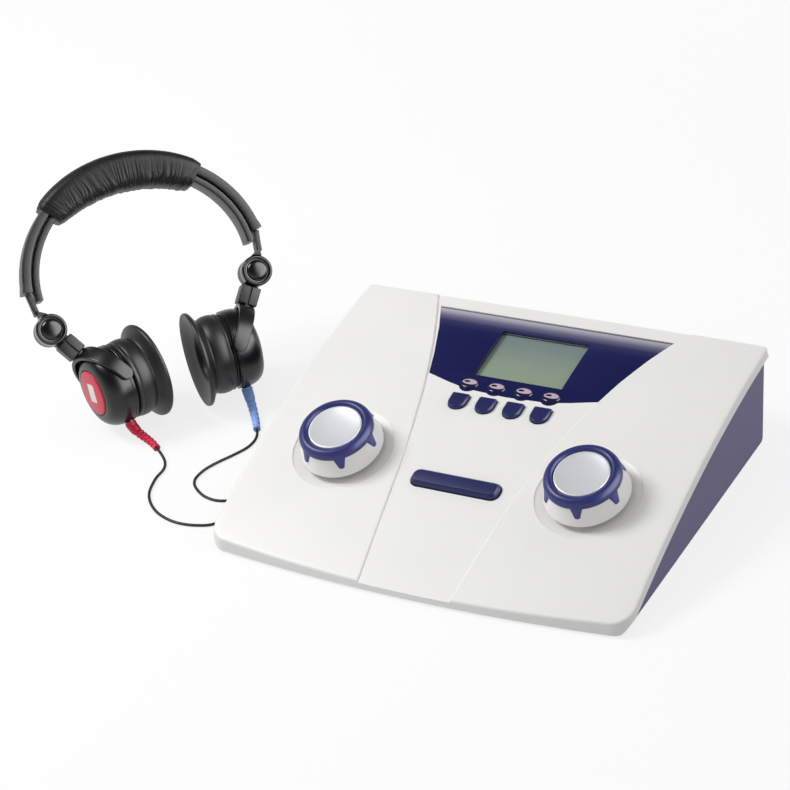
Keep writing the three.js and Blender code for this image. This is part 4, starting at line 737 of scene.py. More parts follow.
DOME_RADIUS = 6.3
dome_profile = [
    (0, -0.6), (6.2, -0.6), (DOME_RADIUS, 0.2), (6.15, 0.6), (5.8, 0.95), (5.2, 1.2), (4.2, 1.4), (2.4, 1.55),
    (0, 1.6),
]
lens_reflection_finish = painted_lens_reflection()
for k, x in enumerate(key_spots):
    dome = mapped_from_above(turned(dome_profile, 64), "lens", DOME_RADIUS)
    place = on_top(x, LENS_Y, WINDOW_SINK) @ Matrix.Diagonal((1, 0.76, 1, 1))
    finished(f"display_lens_{k + 1}", dome, lens_reflection_finish, "console", [], TO_ROW @ place,
             crease=60)


# Soft keys: four navy caps, straight at the back and round at the front, each with a flange that holds it
# under the cover. Moulded in ABS, with a bevel that the fingers have polished.
key_abs = moulded("key_abs_navy", "#1c2158", 0.4, 0.7, 0.02, cloud=0.05)


def cap_on_flange(plan, shoulder, flange):
    """A cap with a chamfered shoulder, as (inset, height) points, on the flange under the cover."""
    floor = -WALL + CHANNEL_SINK - 0.9
    rings = [[(x, y, height) for x, y in plan(-inset)] for inset, height in [(0, floor - 0.8), *shoulder]]
    cap = skinned(rings)
    return carved(cap, [prism(plan(flange), floor - 1.6, floor)], "UNION")


for k, x in enumerate(key_spots):
    cap = cap_on_flange(key_plan, [(0, 1.7), (0.1, 1.85), (0.8, 2.5), (0.95, 2.6)], 1.2)
    finished(f"soft_key_cap_{k + 1}", cap, key_abs, f"soft_key_{k + 1}", [f"key_{k + 1}"],
             TO_ROW @ on_top(x, KEY_Y, CHANNEL_SINK))


# Talk bar: one long navy cap of the keys' ABS with a wide bevel all round. Its own flange holds it under the
# slot in the sunk middle panel.
bar_cap = cap_on_flange(bar_plan, [(0, 1.6), (0.2, 1.95), (1.75, 3.4), (2.0, 3.55), (2.3, 3.6)], 2.4)
finished("talk_bar_cap", bar_cap, key_abs, "talk_bar", ["presentation_bar"],
         TO_ROW @ on_top(0, BAR_Y, CHANNEL_SINK))


# Rotary knobs: a white ABS skirt, a navy grip ring whose six prongs reach down over it, and a dished cap of
# silvered aluminium, all on the shaft of a steel encoder under the dish.
shaft_steel = moulded("shaft_turned_steel", "#b9bcc0", 0.3, 1.0, 0.01, metallic=1.0)
keep_solids(shaft_steel, *(f"{side}_{part}" for side in knob_places for part in ("encoder", "shaft")))
skirt_abs = moulded("skirt_abs_white", "#f1f0ee", 0.32, 0.8, 0.015, cloud=0.012)
grip_abs = moulded("grip_abs_navy", "#2a2f70", 0.36, 0.8, 0.02, cloud=0.06)
prong_abs = moulded("prong_abs_navy", "#34387c", 0.42, 0.8, 0.02, cloud=0.05)


def spun_cap():
    """Lacquered aluminium turned on a lathe: pale, with very fine rings that soften its reflection."""
    surface = {"Base Color": srgb("#e8eaee"), "Metallic": 0.35}
    material, tree, shader, _ = new_material("cap_silvered_aluminium", surface)
    local = add_node(tree, "ShaderNodeUVMap", uv_map="disc").outputs[0]
    rings = add_node(tree, "ShaderNodeTexWave", {"Vector": local, "Scale": 9.0, "Distortion": 0.4},
                     wave_type="RINGS", rings_direction="Z")
    polish = add_node(tree, "ShaderNodeMapRange", {0: rings.outputs[1], 3: 0.3, 4: 0.42})
    tree.links.new(polish.outputs[0], shader.inputs["Roughness"])
    relief = {"Strength": 0.2, "Distance": 0.00002, "Height": rings.outputs[1]}
    tree.links.new(add_node(tree, "ShaderNodeBump", relief).outputs[0], shader.inputs["Normal"])
    return material


def about_axis():
    """A tree that repeats the piece it is given in equal turns about its Z axis."""
    tree, given = new_tree("about_an_axis", "NodeSocketInt", "Count")
    index = add_node(tree, "GeometryNodeInputIndex").outputs[0]
    share = add_node(tree, "ShaderNodeMath", {0: index, 1: given["Count"]}, operation="DIVIDE").outputs[0]
    angle = add_node(tree, "ShaderNodeMath", {0: share, 1: math.tau}, operation="MULTIPLY").outputs[0]
    turned_by = add_node(tree, "ShaderNodeCombineXYZ", {2: angle}).outputs[0]
    rotation = add_node(tree, "FunctionNodeEulerToRotation", {0: turned_by}).outputs[0]
    points = add_node(tree, "GeometryNodePoints", {"Count": given["Count"]}).outputs[0]
    return copies_on(tree, given, {"Points": points, "Rotation": rotation})


SKIRT_RIM, SKIRT_TOP = (27.5, 3.0), (24.0, 15.0)
PRONG_TOP, PRONG_TIP = (4.6, 16.4), (1.9, 8.5)
PRONG_PROUD, PRONG_ROUND = 0.9, 0.87
CAP_RADIUS = 17.6
KNOB_TURNS = {"left": 30, "right": 12}


def skirt_radius(height):
    (rim, low), (top, high) = SKIRT_RIM, SKIRT_TOP
    return rim + (top - rim) * (height - low) / (high - low)


def prong_shape():
    """One prong: widest under the grip ring, with a round tip, and curved to lie on the skirt."""
    rows, columns = 26, 8
    (top_half, top_at), (tip_half, tip_at) = PRONG_TOP, PRONG_TIP
    outer, inner = [], []
    for i in range(rows + 1):
        down = i / rows
        height = top_at - (top_at - tip_at) * down
        tip = 1.0
        if down > PRONG_ROUND:
            tip = math.sqrt(max(1 - ((down - PRONG_ROUND) / (1 - PRONG_ROUND)) ** 2, 0.0))
        half = max((top_half - (top_half - tip_half) * min(down / PRONG_ROUND, 1) ** 0.75) * tip, 0.12)
        fading = 1 if down < 0.9 else 1 - (down - 0.9) / 0.1 * 0.5
        for side, skin in ((1, outer), (-1, inner)):
            row = []
            for j in range(columns + 1):
                across = 2 * j / columns - 1
                proud = -PRONG_PROUD
                if side > 0:
                    proud = PRONG_PROUD * (0.35 + 0.65 * (1 - abs(across) ** 4) ** 0.5) * fading
                radius = skirt_radius(height) + proud
                angle = -math.pi / 2 + across * half / skirt_radius(height)
                row.append((radius * math.cos(angle), radius * math.sin(angle), height))
            skin.append(row)
    return skinned([front + back[::-1] for front, back in zip(outer, inner)])


cap_metal = spun_cap()
axis_tree = about_axis()
for side, at in knob_places.items():
    body = f"{side}_knob"
    at = TO_ROW @ at @ Matrix.Rotation(math.radians(KNOB_TURNS[side]), 4, "Z")
    skirt = turned([
        (0, 14.9), (3.3, 14.9), (3.3, 3.0), (7, 3.0), (7, 12.5), (22.4, 12.5), (25.2, 2.4), (27.1, 2.4),
        (27.45, 2.6), SKIRT_RIM, (27.2, 4.0), (24.15, 14.5), SKIRT_TOP, (CAP_RADIUS, 15), (CAP_RADIUS, 17.5),
        (0, 17.5),
    ])
    finished(f"{side}_knob_skirt", skirt, skirt_abs, body, [f"{side}_skirt"], at)
    grip = turned([
        (18.05, 15.3), (24.3, 15.3), (24.5, 15.5), (24.55, 16.6), (24.35, 17.8), (23.8, 19.0), (22.9, 20.0),
        (21.8, 20.7), (20.6, 20.98), (19.6, 20.8), (18.8, 20.2), (18.25, 19.3), (18.05, 18.2),
    ], 128)
    finished(f"{side}_knob_grip", grip, grip_abs, body, [f"{side}_grip"], at.copy())
    prongs = grown(prong_shape(), axis_tree, count=6, finish=prong_abs)
    finished(f"{side}_knob_prongs", prongs, prong_abs, body, [], at.copy(), crease=50)
    disc = turned([
        (0, 17.8), (17.2, 17.8), (CAP_RADIUS, 18.2), (CAP_RADIUS, 19.6), (17.45, 19.9), (17.0, 20.1),
        (16.2, 19.95), (14.0, 19.55), (11.0, 19.15), (7.0, 18.85), (3.0, 18.72), (0, 18.7),
    ], 128)
    disc = mapped_from_above(disc, "disc", CAP_RADIUS)
    finished(f"{side}_knob_cap", disc, cap_metal, body, [f"{side}_cap"], at.copy(), crease=40)


# Headset bands: two glass-filled nylon springs, a broad outer one and a thinner one inside it, joined under
# the pad. The outer one ends in a mouth that the slider comes out of.
LEAN, FACING = math.radians(32.7), math.radians(49.6)
along = Vector((math.cos(FACING), math.sin(FACING), 0))
band_up = Vector((-math.sin(FACING), math.cos(FACING), 0)) * math.sin(LEAN) + Vector((0, 0, math.cos(LEAN)))
HEADSET = Matrix((along, band_up, along.cross(band_up))).transposed().to_4x4()
HINGE_X, PIVOT_X, PIVOT_Y = 74, 43, -47
HEADSET.translation = Vector((-275.4, 42.5, 33.35 - PIVOT_Y * math.cos(LEAN)))
SPAN_X, SPAN_Y, BAND_CENTRE = 85.3, 78.3, 21.6
MOUTH_Y, MOUTH_INSET, MOUTH_LEAN = 28, 3.55, math.radians(9)

band_nylon = moulded("band_glass_filled_nylon", "#1f1f20", 0.42, 0.7, 0.03, cloud=0.1)
slide_nylon = moulded("slide_black_nylon", "#1a1a1b", 0.46, 0.7, 0.02, cloud=0.08)


def arc_point(out, angle, across):
    """A point out from the outer band's face, at an angle round the band and across it."""
    return ((SPAN_X + out) * math.cos(angle), BAND_CENTRE + (SPAN_Y + out) * math.sin(angle), across)


def band_arc(thick, width, depth, end_y, lip, edge, steps=120):
    """A strip bent to the band's arc: its broad faces are flat across, with rounded edges, and its two ends
    flare a little."""
    end_depth = thick / 2 if lip else depth
    start = math.asin((end_y - BAND_CENTRE) / (SPAN_Y - end_depth))
    rings = []
    for i in range(steps + 1):
        angle = start + (math.pi - 2 * start) * i / steps
        from_end = min(i, steps - i) / steps
        flare = lip * max(1 - from_end / 0.02, 0) ** 0.5
        section = []
        flat = width / 2 - edge + flare
        for turn, side, level in ((0, 1, flare - edge), (90, -1, flare - edge), (180, -1, edge - thick),
                                  (270, 1, edge - thick)):
            for k in range(5):
                bend = math.radians(turn + 22.5 * k)
                section.append((level + edge * math.sin(bend), side * flat + edge * math.cos(bend)))
        rings.append([arc_point(out - depth, angle, across) for out, across in section])
    return skinned(rings)


outer_band = band_arc(6.5, 22, 0, MOUTH_Y, 0.8, 1.3)
slots = []
for side in (-1, 1):
    mouth_at = Matrix.Translation((side * (SPAN_X - MOUTH_INSET), MOUTH_Y, 0))
    mouth_at = mouth_at @ Matrix.Rotation(side * MOUTH_LEAN, 4, "Z")
    slot = placed(block(2.6, 14.6, -16, 16), Matrix.Rotation(math.pi / 2, 4, "X"))
    slots.append(placed(slot, mouth_at))
finished("band_outer", carved(outer_band, slots), band_nylon, "headband", ["outer_band"],
         TO_ROW @ HEADSET, crease=50)
inner_band = carved(band_arc(4.8, 20, 7.2, 20.5, 0, 1.2), [band_arc(0.9, 15, 6.5, 30, 0, 0.3)], "UNION")
finished("band_inner", inner_band, band_nylon, "headband", ["inner_band"],
         TO_ROW @ HEADSET, crease=50)


# Head pad: a tube of thin black leather drawn over foam round both bands, closed by a seam on its outer face
# and gathered at its ends, so that it wrinkles across the bands where it is bent inward.
def pad_leather():
    """Grained leather: dark, with a low sheen on its folds, a fine pebble and a few creases of wear."""
    surface = {"IOR": 1.5, "Specular IOR Level": 0.28}
    material, tree, shader, _ = new_material("pad_grained_leather", surface)
    local = add_node(tree, "ShaderNodeUVMap", uv_map="leather").outputs[0]
    pebble = add_node(tree, "ShaderNodeTexVoronoi", {"Vector": local, "Scale": 0.9}, feature="F1")
    wear = add_node(tree, "ShaderNodeTexNoise", {"Vector": local, "Scale": 0.06, "Detail": 5.0})
    tone = add_node(tree, "ShaderNodeValToRGB", {0: wear.outputs[0]})
    for stop, position, colour in zip(tone.color_ramp.elements, (0.3, 0.75), ("#0e0e0f", "#19191a")):
        stop.position = position
        stop.color = srgb(colour)
    polish = add_node(tree, "ShaderNodeMapRange", {0: wear.outputs[0], 3: 0.38, 4: 0.52})
    relief = {"Strength": 0.4, "Distance": 0.00008, "Height": pebble.outputs[0]}
    tree.links.new(add_node(tree, "ShaderNodeBump", relief).outputs[0], shader.inputs["Normal"])
    tree.links.new(tone.outputs[0], shader.inputs["Base Color"])
    tree.links.new(polish.outputs[0], shader.inputs["Roughness"])
    return material


PAD_HALF_ARC, PAD_HALF_LENGTH, PAD_HALF_WIDTH = math.radians(42), 62, 14.7
PAD_ROUNDNESS = 0.62


def pad_surface(steps=420, sides=96):
    """The pad's tube as rings round the bands, with the wrinkles across it and the seam along it."""
    rings = []
    for i in range(steps + 1):
        share = 2 * i / steps - 1
        angle = math.pi / 2 - share * PAD_HALF_ARC
        full = math.sqrt(1 - 0.22 * share**8)
        gathered = max(0.0, (abs(share) - 0.9) / 0.1)
        inner = (10 + (6 - 10) * share * share) * full
        outer, deep = 4.5 * full, 12.0
        half = (outer + inner + deep) / 2
        ring = []
        for n in range(sides):
            turn = 2 * math.pi * n / sides
            c, s = math.cos(turn), math.sin(turn)
            across = math.copysign(abs(c) ** PAD_ROUNDNESS, c) * PAD_HALF_WIDTH * full
            out = outer - half + math.copysign(abs(s) ** PAD_ROUNDNESS, s) * half
            inward = (1 - s) / 2
            walk = share * PAD_HALF_LENGTH + 3 * noise.noise(Vector((share * 3, c * 1.2, s * 1.2)))
            broad = noise.noise(Vector((walk * 0.3, c * 0.7, s * 0.7)))
            narrow = noise.noise(Vector((walk * 0.52, c * 0.9 + 5, s * 0.9)))
            drawn = 0.07 + 0.9 * math.exp(-(((inward - 0.79) / 0.21) ** 2)) + 0.5 * gathered
            crease = -0.62 * math.exp(-((broad / 0.2) ** 2)) - 0.38 * math.exp(-((narrow / 0.17) ** 2))
            seam = -0.5 * math.exp(-(((turn - 1.25) * 9) ** 2)) + 0.25 * math.exp(-(((turn - 1.38) * 9) ** 2))
            lift = (crease + 0.5 * broad + 0.2) * drawn + seam - 0.8 * gathered
            length = math.hypot(c, s * 0.8)
            ring.append(arc_point(out + lift * s / length, angle, across + lift * c / length))
        rings.append(ring)
    return rings


pad_rings = pad_surface()
pad_ends = [
    sum((Vector(point) for point in ring), Vector()) / len(ring) for ring in (pad_rings[0], pad_rings[-1])
]
pad_mesh = skinned(pad_rings, *pad_ends)
pad_map = pad_mesh.uv_layers.new(name="leather")
for loop in pad_mesh.loops:
    point = pad_mesh.vertices[loop.vertex_index].co
    angle = math.atan2(point.y - BAND_CENTRE, point.x)
    reach = math.hypot(point.x, point.y - BAND_CENTRE) - 80
    pad_map.data[loop.index].uv = (angle * 82, math.atan2(reach + 5, point.z) * 12)
pad = finished("head_pad_leather", pad_mesh, pad_leather(), "headband", ["head_pad"],
               TO_ROW @ HEADSET, crease=180)


# Sliders and hinges, one on each side: a flat nylon strip slides in the band's mouth and ends in a round
# drum with a domed cap. The drum's pin carries the neck, whose split block grips the yoke's swivel pin.
drum_gloss = moulded("hinge_gloss_nylon", "#0e0e0f", 0.24, 2.0, 0.01, coat=0.1)
yoke_satin = moulded("yoke_satin_nylon", "#101011", 0.32, 2.0, 0.01, cloud=0.1)
cup_satin = moulded("cup_satin_abs", "#0d0d0e", 0.28, 3.0, 0.01, cloud=0.1)
YOKE_INNER, YOKE_THICK = 28.6, 2.9
YOKE_OUTER = YOKE_INNER + YOKE_THICK
YOKE_END_HALF, YOKE_SWELL = 4.7, 1.1
FOOT_X, FOOT_Y = 80, 12
BLOCK_START = 11.3
SLIDE_IN = 14
# Red marks the right ear and blue the left. The red cup rests a little turned and tilted, in degrees.
sides = {"red": -1, "blue": 1}
swivels = {"red": -13.0, "blue": 0.0}
tilts = {"red": 7.6, "blue": 0.0}


def ring_section(points, radius, corner_steps=4):
    """A closed outline with every corner rounded by the radius."""
    rounded = []
    for i, point in enumerate(points):
        before, here, after = Vector(points[i - 1]), Vector(point), Vector(points[(i + 1) % len(points)])
        start = here + (before - here).normalized() * radius
        end = here + (after - here).normalized() * radius
        for k in range(corner_steps + 1):
            share = k / corner_steps
            rounded.append(tuple((1 - share) ** 2 * start + 2 * share * (1 - share) * here + share**2 * end))
    return rounded


for colour, side in sides.items():
    slide_way = Vector((side * math.sin(MOUTH_LEAN), -math.cos(MOUTH_LEAN), 0))
    mouth = Vector((side * (SPAN_X - MOUTH_INSET), MOUTH_Y, 0))
    foot_place = Vector((side * FOOT_X, FOOT_Y, 0))
    hinge = Vector((side * HINGE_X, 0, 0))
    stops = [mouth - slide_way * SLIDE_IN, mouth + slide_way * GAP, mouth.lerp(foot_place, 0.55), foot_place]
    strip_rings = []
    for n, centre in enumerate(stops):
        lean = side * MOUTH_LEAN * (1, 1, 0.4, 0)[n]
        section = ring_section([(-1, -7), (1, -7), (1, 7), (-1, 7)], 0.5)
        strip_rings.append([
            centre + Vector((x * math.cos(lean), x * math.sin(lean), z)) for x, z in section
        ])
    strip = skinned(strip_rings)
    rail_section = ((0.7, -2.2), (1.35, -1.8), (1.35, 1.8), (0.7, 2.2))
    rail_way = (stops[1] + slide_way * 0.6, stops[2], foot_place + Vector((0, 1.2, 0)))
    rail = skinned([[centre + Vector((side * x, 0, z)) for x, z in rail_section] for centre in rail_way])
    bead_section = ((-2.0, 7.4), (2.0, 7.4), (2.0, 5.2), (-1.0, 5.2))
    bead_way = (stops[1] + slide_way * 0.8, stops[2], foot_place + Vector((0, 0.6, 0)))
    bead = skinned([[centre + Vector((side * x, 0, z)) for x, z in bead_section] for centre in bead_way])
    gusset = prism([(side * FOOT_X, 14.5), (side * FOOT_X, 5.3), (side * 70, 9.0)], 1.0, 9.7)
    room = placed(turned([(0, -22), (11, -22), (11, 20), (0, 20)], 64), Matrix.Translation(hinge))
    gusset = eased_edges(carved(gusset, [room]), 0.4)
    strip = carved(strip, [rail, eased_edges(bead, 0.5), gusset], "UNION")
    finished(f"{colour}_slide_strip", strip, slide_nylon, f"{colour}_slide", [f"{colour}_slider"],
             TO_ROW @ HEADSET, crease=40)
    drum = turned([
        (0, -11), (3.5, -11), (3.5, 1.0), (10.2, 1.0), (10.6, 1.3), (10.7, 1.8), (10.7, 8.6), (10.4, 9.4),
        (9.8, 9.9), (9.2, 10.0), (8.9, 9.9), (8.6, 9.5), (8.1, 9.3), (7.4, 9.3), (7.25, 9.6), (6.9, 10.2),
        (6.2, 10.8), (5.0, 11.4), (3.4, 11.8), (1.6, 11.97), (0, 12.0),
    ])
    finished(f"{colour}_hinge_dome", drum, drum_gloss, f"{colour}_slide", [f"{colour}_hinge_drum"],
             TO_ROW @ HEADSET @ Matrix.Translation(hinge), crease=45)

    # Neck: a nylon knuckle behind the drum and a split block, bored for the yoke's swivel pin
    pivot = Vector((side * PIVOT_X, PIVOT_Y, 0))
    to_cup = pivot - hinge
    reach = to_cup.length - YOKE_INNER - YOKE_THICK - GAP
    middle = (reach + BLOCK_START) / 2
    lean = math.atan2(to_cup.y, to_cup.x)
    knuckle = turned([(0, -11), (9.7, -11), (10.2, -10.6), (10.4, -10.0), (10.4, 0.4), (10.1, 0.7), (0, 0.7)])
    neck_block = eased_edges(block(reach - BLOCK_START, 13.5, -7.5, 7.5, x=middle), 0.9)
    bridge = eased_edges(block(10.7, 10.5, -10.7, 0.4, x=10.7), 1.2)
    neck = carved(knuckle, [neck_block, bridge], "UNION")
    slit = block(reach, 1.7, 5.6, 9.0, x=middle)
    slit_back = block(reach, 1.7, -9.0, -5.6, x=middle)
    pin_bore = turned([(0, -22), (3.8, -22), (3.8, 10), (0, 10)], 48)
    swivel_bore = placed(turned([(0, -7.3), (3.3, -7.3), (3.3, 20), (0, 20)], 48),
                         Matrix.Translation((reach, 0, 0)) @ Matrix.Rotation(math.pi / 2, 4, "Y"))
    neck = carved(neck, [slit, slit_back, pin_bore, swivel_bore])
    finished(f"{colour}_neck_grip", neck, slide_nylon, f"{colour}_neck_block", [f"{colour}_neck"],
             TO_ROW @ HEADSET @ Matrix.Translation(hinge) @ Matrix.Rotation(lean, 4, "Z"),
             crease=40)

    # Yoke: a nylon fork moulded as a half ring, widest at its swivel pin and round at both ends
    to_pivot = Matrix.Translation(pivot)
    swivel = to_pivot @ Matrix.Rotation(math.radians(swivels[colour]), 4, to_cup.normalized())
    bends = [math.radians(bend) for bend in (82, 68, 54, 40, 26, 12)]
    rounding = [(-YOKE_END_HALF * math.sin(bend), YOKE_END_HALF * math.cos(bend)) for bend in bends]
    stations = [(past, -math.pi / 2, half) for past, half in rounding]
    turns = [-math.pi / 2 + math.pi * i / 48 for i in range(49)]
    stations += [(0, turn, YOKE_END_HALF + YOKE_SWELL * math.cos(turn)) for turn in turns]
    stations += [(past, math.pi / 2, half) for past, half in rounding[::-1]]
    yoke_rings = []
    for past, turn, half in stations:
        corners = [(YOKE_INNER, -half), (YOKE_OUTER, -half), (YOKE_OUTER, half), (YOKE_INNER, half)]
        section = ring_section(corners, min(0.9, 0.45 * half))
        yoke_rings.append([(past + r * math.cos(turn), y, r * math.sin(turn)) for r, y in section])
    collar = [(0, 30), (6.0, 30), (6.0, 31.5), (5.6, 31.75), (3.0, 31.75), (3.0, 38.8), (0, 38.8)]
    swivel_pin = placed(turned(collar, 48), Matrix.Rotation(math.pi / 2, 4, "Y"))
    yoke = carved(skinned(yoke_rings), [swivel_pin], "UNION")
    yoke = carved(yoke, [turned([(0, -30.35), (3.3, -30.35), (3.3, 30.35), (0, 30.35)], 48)])
    finished(f"{colour}_yoke_fork", yoke, yoke_satin, f"{colour}_fork", [f"{colour}_yoke"],
             TO_ROW @ HEADSET @ swivel @ Matrix.Rotation(lean + math.pi, 4, "Z"), crease=40)


# Ear cups, one on each side: a satin ABS shell on two pivot pins, a moulded rubber cushion that snaps into
# it, and a disc in the ear's colour set in its middle.
cushion_rubber = moulded("cushion_moulded_rubber", "#1b1b1c", 0.42, 0.9, 0.03, cloud=0.14)
driver_mesh = moulded("driver_grille_steel", "#4a4d50", 0.45, 0.7, 0.08, metallic=1.0)
baffle_nylon = moulded("baffle_black_nylon", "#1b1b1c", 0.55, 0.6, 0.02)
BODY, SEAT = 27.7, 24.45
DEEP = 45 - SEAT
DISC_SEAT = SEAT + 0.93 * DEEP
EAR_X, OUTLET_X = 15, 44.5
BADGE_RADIUS = 16


def badge_print(name, colour, sign):
    """A lacquered disc in the ear's colour, with a plain pale rounded rectangle printed in its middle."""
    material, tree, shader, _ = new_material(name, {"Roughness": 0.3, "Specular IOR Level": 0.4})
    local = add_node(tree, "ShaderNodeUVMap", uv_map="disc").outputs[0]
    centred = add_node(tree, "ShaderNodeMapping", {0: local, 2: (0, 0, sign)}).outputs[0]
    parts = add_node(tree, "ShaderNodeSeparateXYZ", {0: centred}).outputs
    far = []
    for part, half in ((parts[0], 0.28), (parts[1], 0.42)):
        size = add_node(tree, "ShaderNodeMath", {0: part}, operation="ABSOLUTE").outputs[0]
        over = add_node(tree, "ShaderNodeMath", {0: size, 1: half - 0.1}, operation="SUBTRACT").outputs[0]
        far.append(add_node(tree, "ShaderNodeMath", {0: over, 1: 0.0}, operation="MAXIMUM").outputs[0])
    corner = add_node(tree, "ShaderNodeCombineXYZ", {0: far[0], 1: far[1]})
    away = add_node(tree, "ShaderNodeVectorMath", {0: corner.outputs[0]}, operation="LENGTH").outputs[1]
    mask = add_node(tree, "ShaderNodeMapRange", {0: away, 1: 0.11, 2: 0.085}).outputs[0]
    tone = add_node(tree, "ShaderNodeMix", {0: mask, 6: srgb(colour), 7: srgb("#e9e4e4")}, data_type="RGBA")
    tree.links.new(tone.outputs[2], shader.inputs["Base Color"])
    return material


badges = {
    "red": badge_print("badge_red_lacquer", "#d01a3c", 0.5),
    "blue": badge_print("badge_blue_lacquer", "#2f5cb5", 0.5),
}
cushion_profile = smooth_path([
    (18, 6.2, 0), (22, 4.6, 0), (26.6, 2.5, 0), (30.5, 0.9, 0), (32.6, 0.5, 0), (33.2, 1.6, 0),
    (32.8, 3.2, 0), (31.0, 4.5, 0), (28.6, 5.9, 0), (26.7, 7.4, 0), (26.0, 8.4, 0), (26.5, 9.6, 0),
    (27.2, 11.6, 0), (27.6, 14.0, 0), (27.6, 16.6, 0), (27.3, 18.6, 0), (26.9, 19.5, 0), (27.0, 20.3, 0),
    (27.05, 21.2, 0), (26.7, 22.0, 0), (25.4, 22.6, 0), (24.7, 23.2, 0), (24.8, 24, 0),
], 4)
shell_profile = [(25.7, SEAT), (27.0, SEAT), (27.5, SEAT + 0.3), (27.6, SEAT + 1.5), (27.4, SEAT + 1.75)]
shell_profile += [(27.4, SEAT + 2.1), (BODY, SEAT + 2.4), (BODY, SEAT + 5.75)]
for k in range(1, 13):
    bend = math.radians(90 * k / 13)
    rise = SEAT + 5.75 + (0.955 * DEEP - 5.75) * math.sin(bend)
    shell_profile.append((16.9 + 10.8 * math.cos(bend) ** 0.85, rise))
shell_profile += [(17.2, SEAT + 0.962 * DEEP), (16.6, SEAT + 0.96 * DEEP), (16.35, DISC_SEAT)]
shell_profile += [
    (0, DISC_SEAT), (0, DISC_SEAT - 2), (15.5, DISC_SEAT - 2), (22.7, SEAT + 0.6 * DEEP),
    (25.7, SEAT + 0.3 * DEEP),
]
cups = {}
for colour, side in sides.items():
    pivot = Vector((side * PIVOT_X, PIVOT_Y, 0))
    to_cup = (pivot - Vector((side * HINGE_X, 0, 0))).normalized()
    cup = HEADSET @ Matrix.Translation(pivot) @ Matrix.Rotation(math.radians(swivels[colour]), 4, to_cup)
    cup = cup @ Matrix.Rotation(math.radians(tilts[colour]), 4, "Z") @ Matrix.Translation(-pivot)
    cups[colour] = cup
    laid = Matrix.Translation((side * EAR_X, PIVOT_Y, 0)) @ Matrix.Rotation(side * math.pi / 2, 4, "Y")
    ear = f"{colour}_earpiece"
    shell = turned(shell_profile)
    pins = []
    for turn in (0, math.pi):
        pin = turned([(0, 26), (3, 26), (3, 29.8), (2.7, 30.1), (0, 30.1)], 48)
        pin = placed(pin, Matrix.Rotation(turn, 4, "X"))
        pins.append(placed(pin, Matrix.Translation(pivot)))
    outlet = turned([(0, 26.5), (3.2, 26.5), (3.2, 28.3), (0, 28.3)], 48)
    outlet_at = Matrix.Translation((side * OUTLET_X, PIVOT_Y, 0))
    outlet = placed(outlet, outlet_at @ Matrix.Rotation(math.pi / 2, 4, "X"))
    shell = carved(placed(shell, laid), [*pins, outlet], "UNION")
    finished(f"{colour}_cup_satin_shell", shell, cup_satin, ear, [f"{colour}_cup_shell"],
             TO_ROW @ cup, crease=40)
    ring = [(point.x, point.y) for point in cushion_profile]
    cushion = turned(ring + [(15.05, 24), (15.05, 13.9), (16.0, 9.8)], 144)
    soft = finished(f"{colour}_ear_cushion", cushion, cushion_rubber, ear, [f"{colour}_cushion"],
                    TO_ROW @ cup @ laid, crease=60)
    disc_profile = [
        (0, 0.3), (15.6, 0.3), (BADGE_RADIUS, 0.5), (BADGE_RADIUS, 0.9), (15.6, 1.25), (14.6, 1.45), (0, 1.7),
    ]
    disc = turned([(radius, DISC_SEAT + rise) for radius, rise in disc_profile])
    disc = mapped_from_above(disc, "disc", BADGE_RADIUS)
    finished(f"{colour}_cup_badge", disc, badges[colour], ear, [f"{colour}_badge"],
             TO_ROW @ cup @ laid, crease=60)
    keep_solids(driver_mesh, f"{colour}_driver")
    keep_solids(baffle_nylon, f"{colour}_baffle")


# Boots: a ribbed strain relief in the ear's colour at each cup, moulded in soft vinyl over the cord, bending
# down under the cord's weight from the cup's outlet to the table.
def boot_vinyl(name, colour):
    return moulded(name, colour, 0.42, 1.2, 0.02, cloud=0.06, specular=0.4)


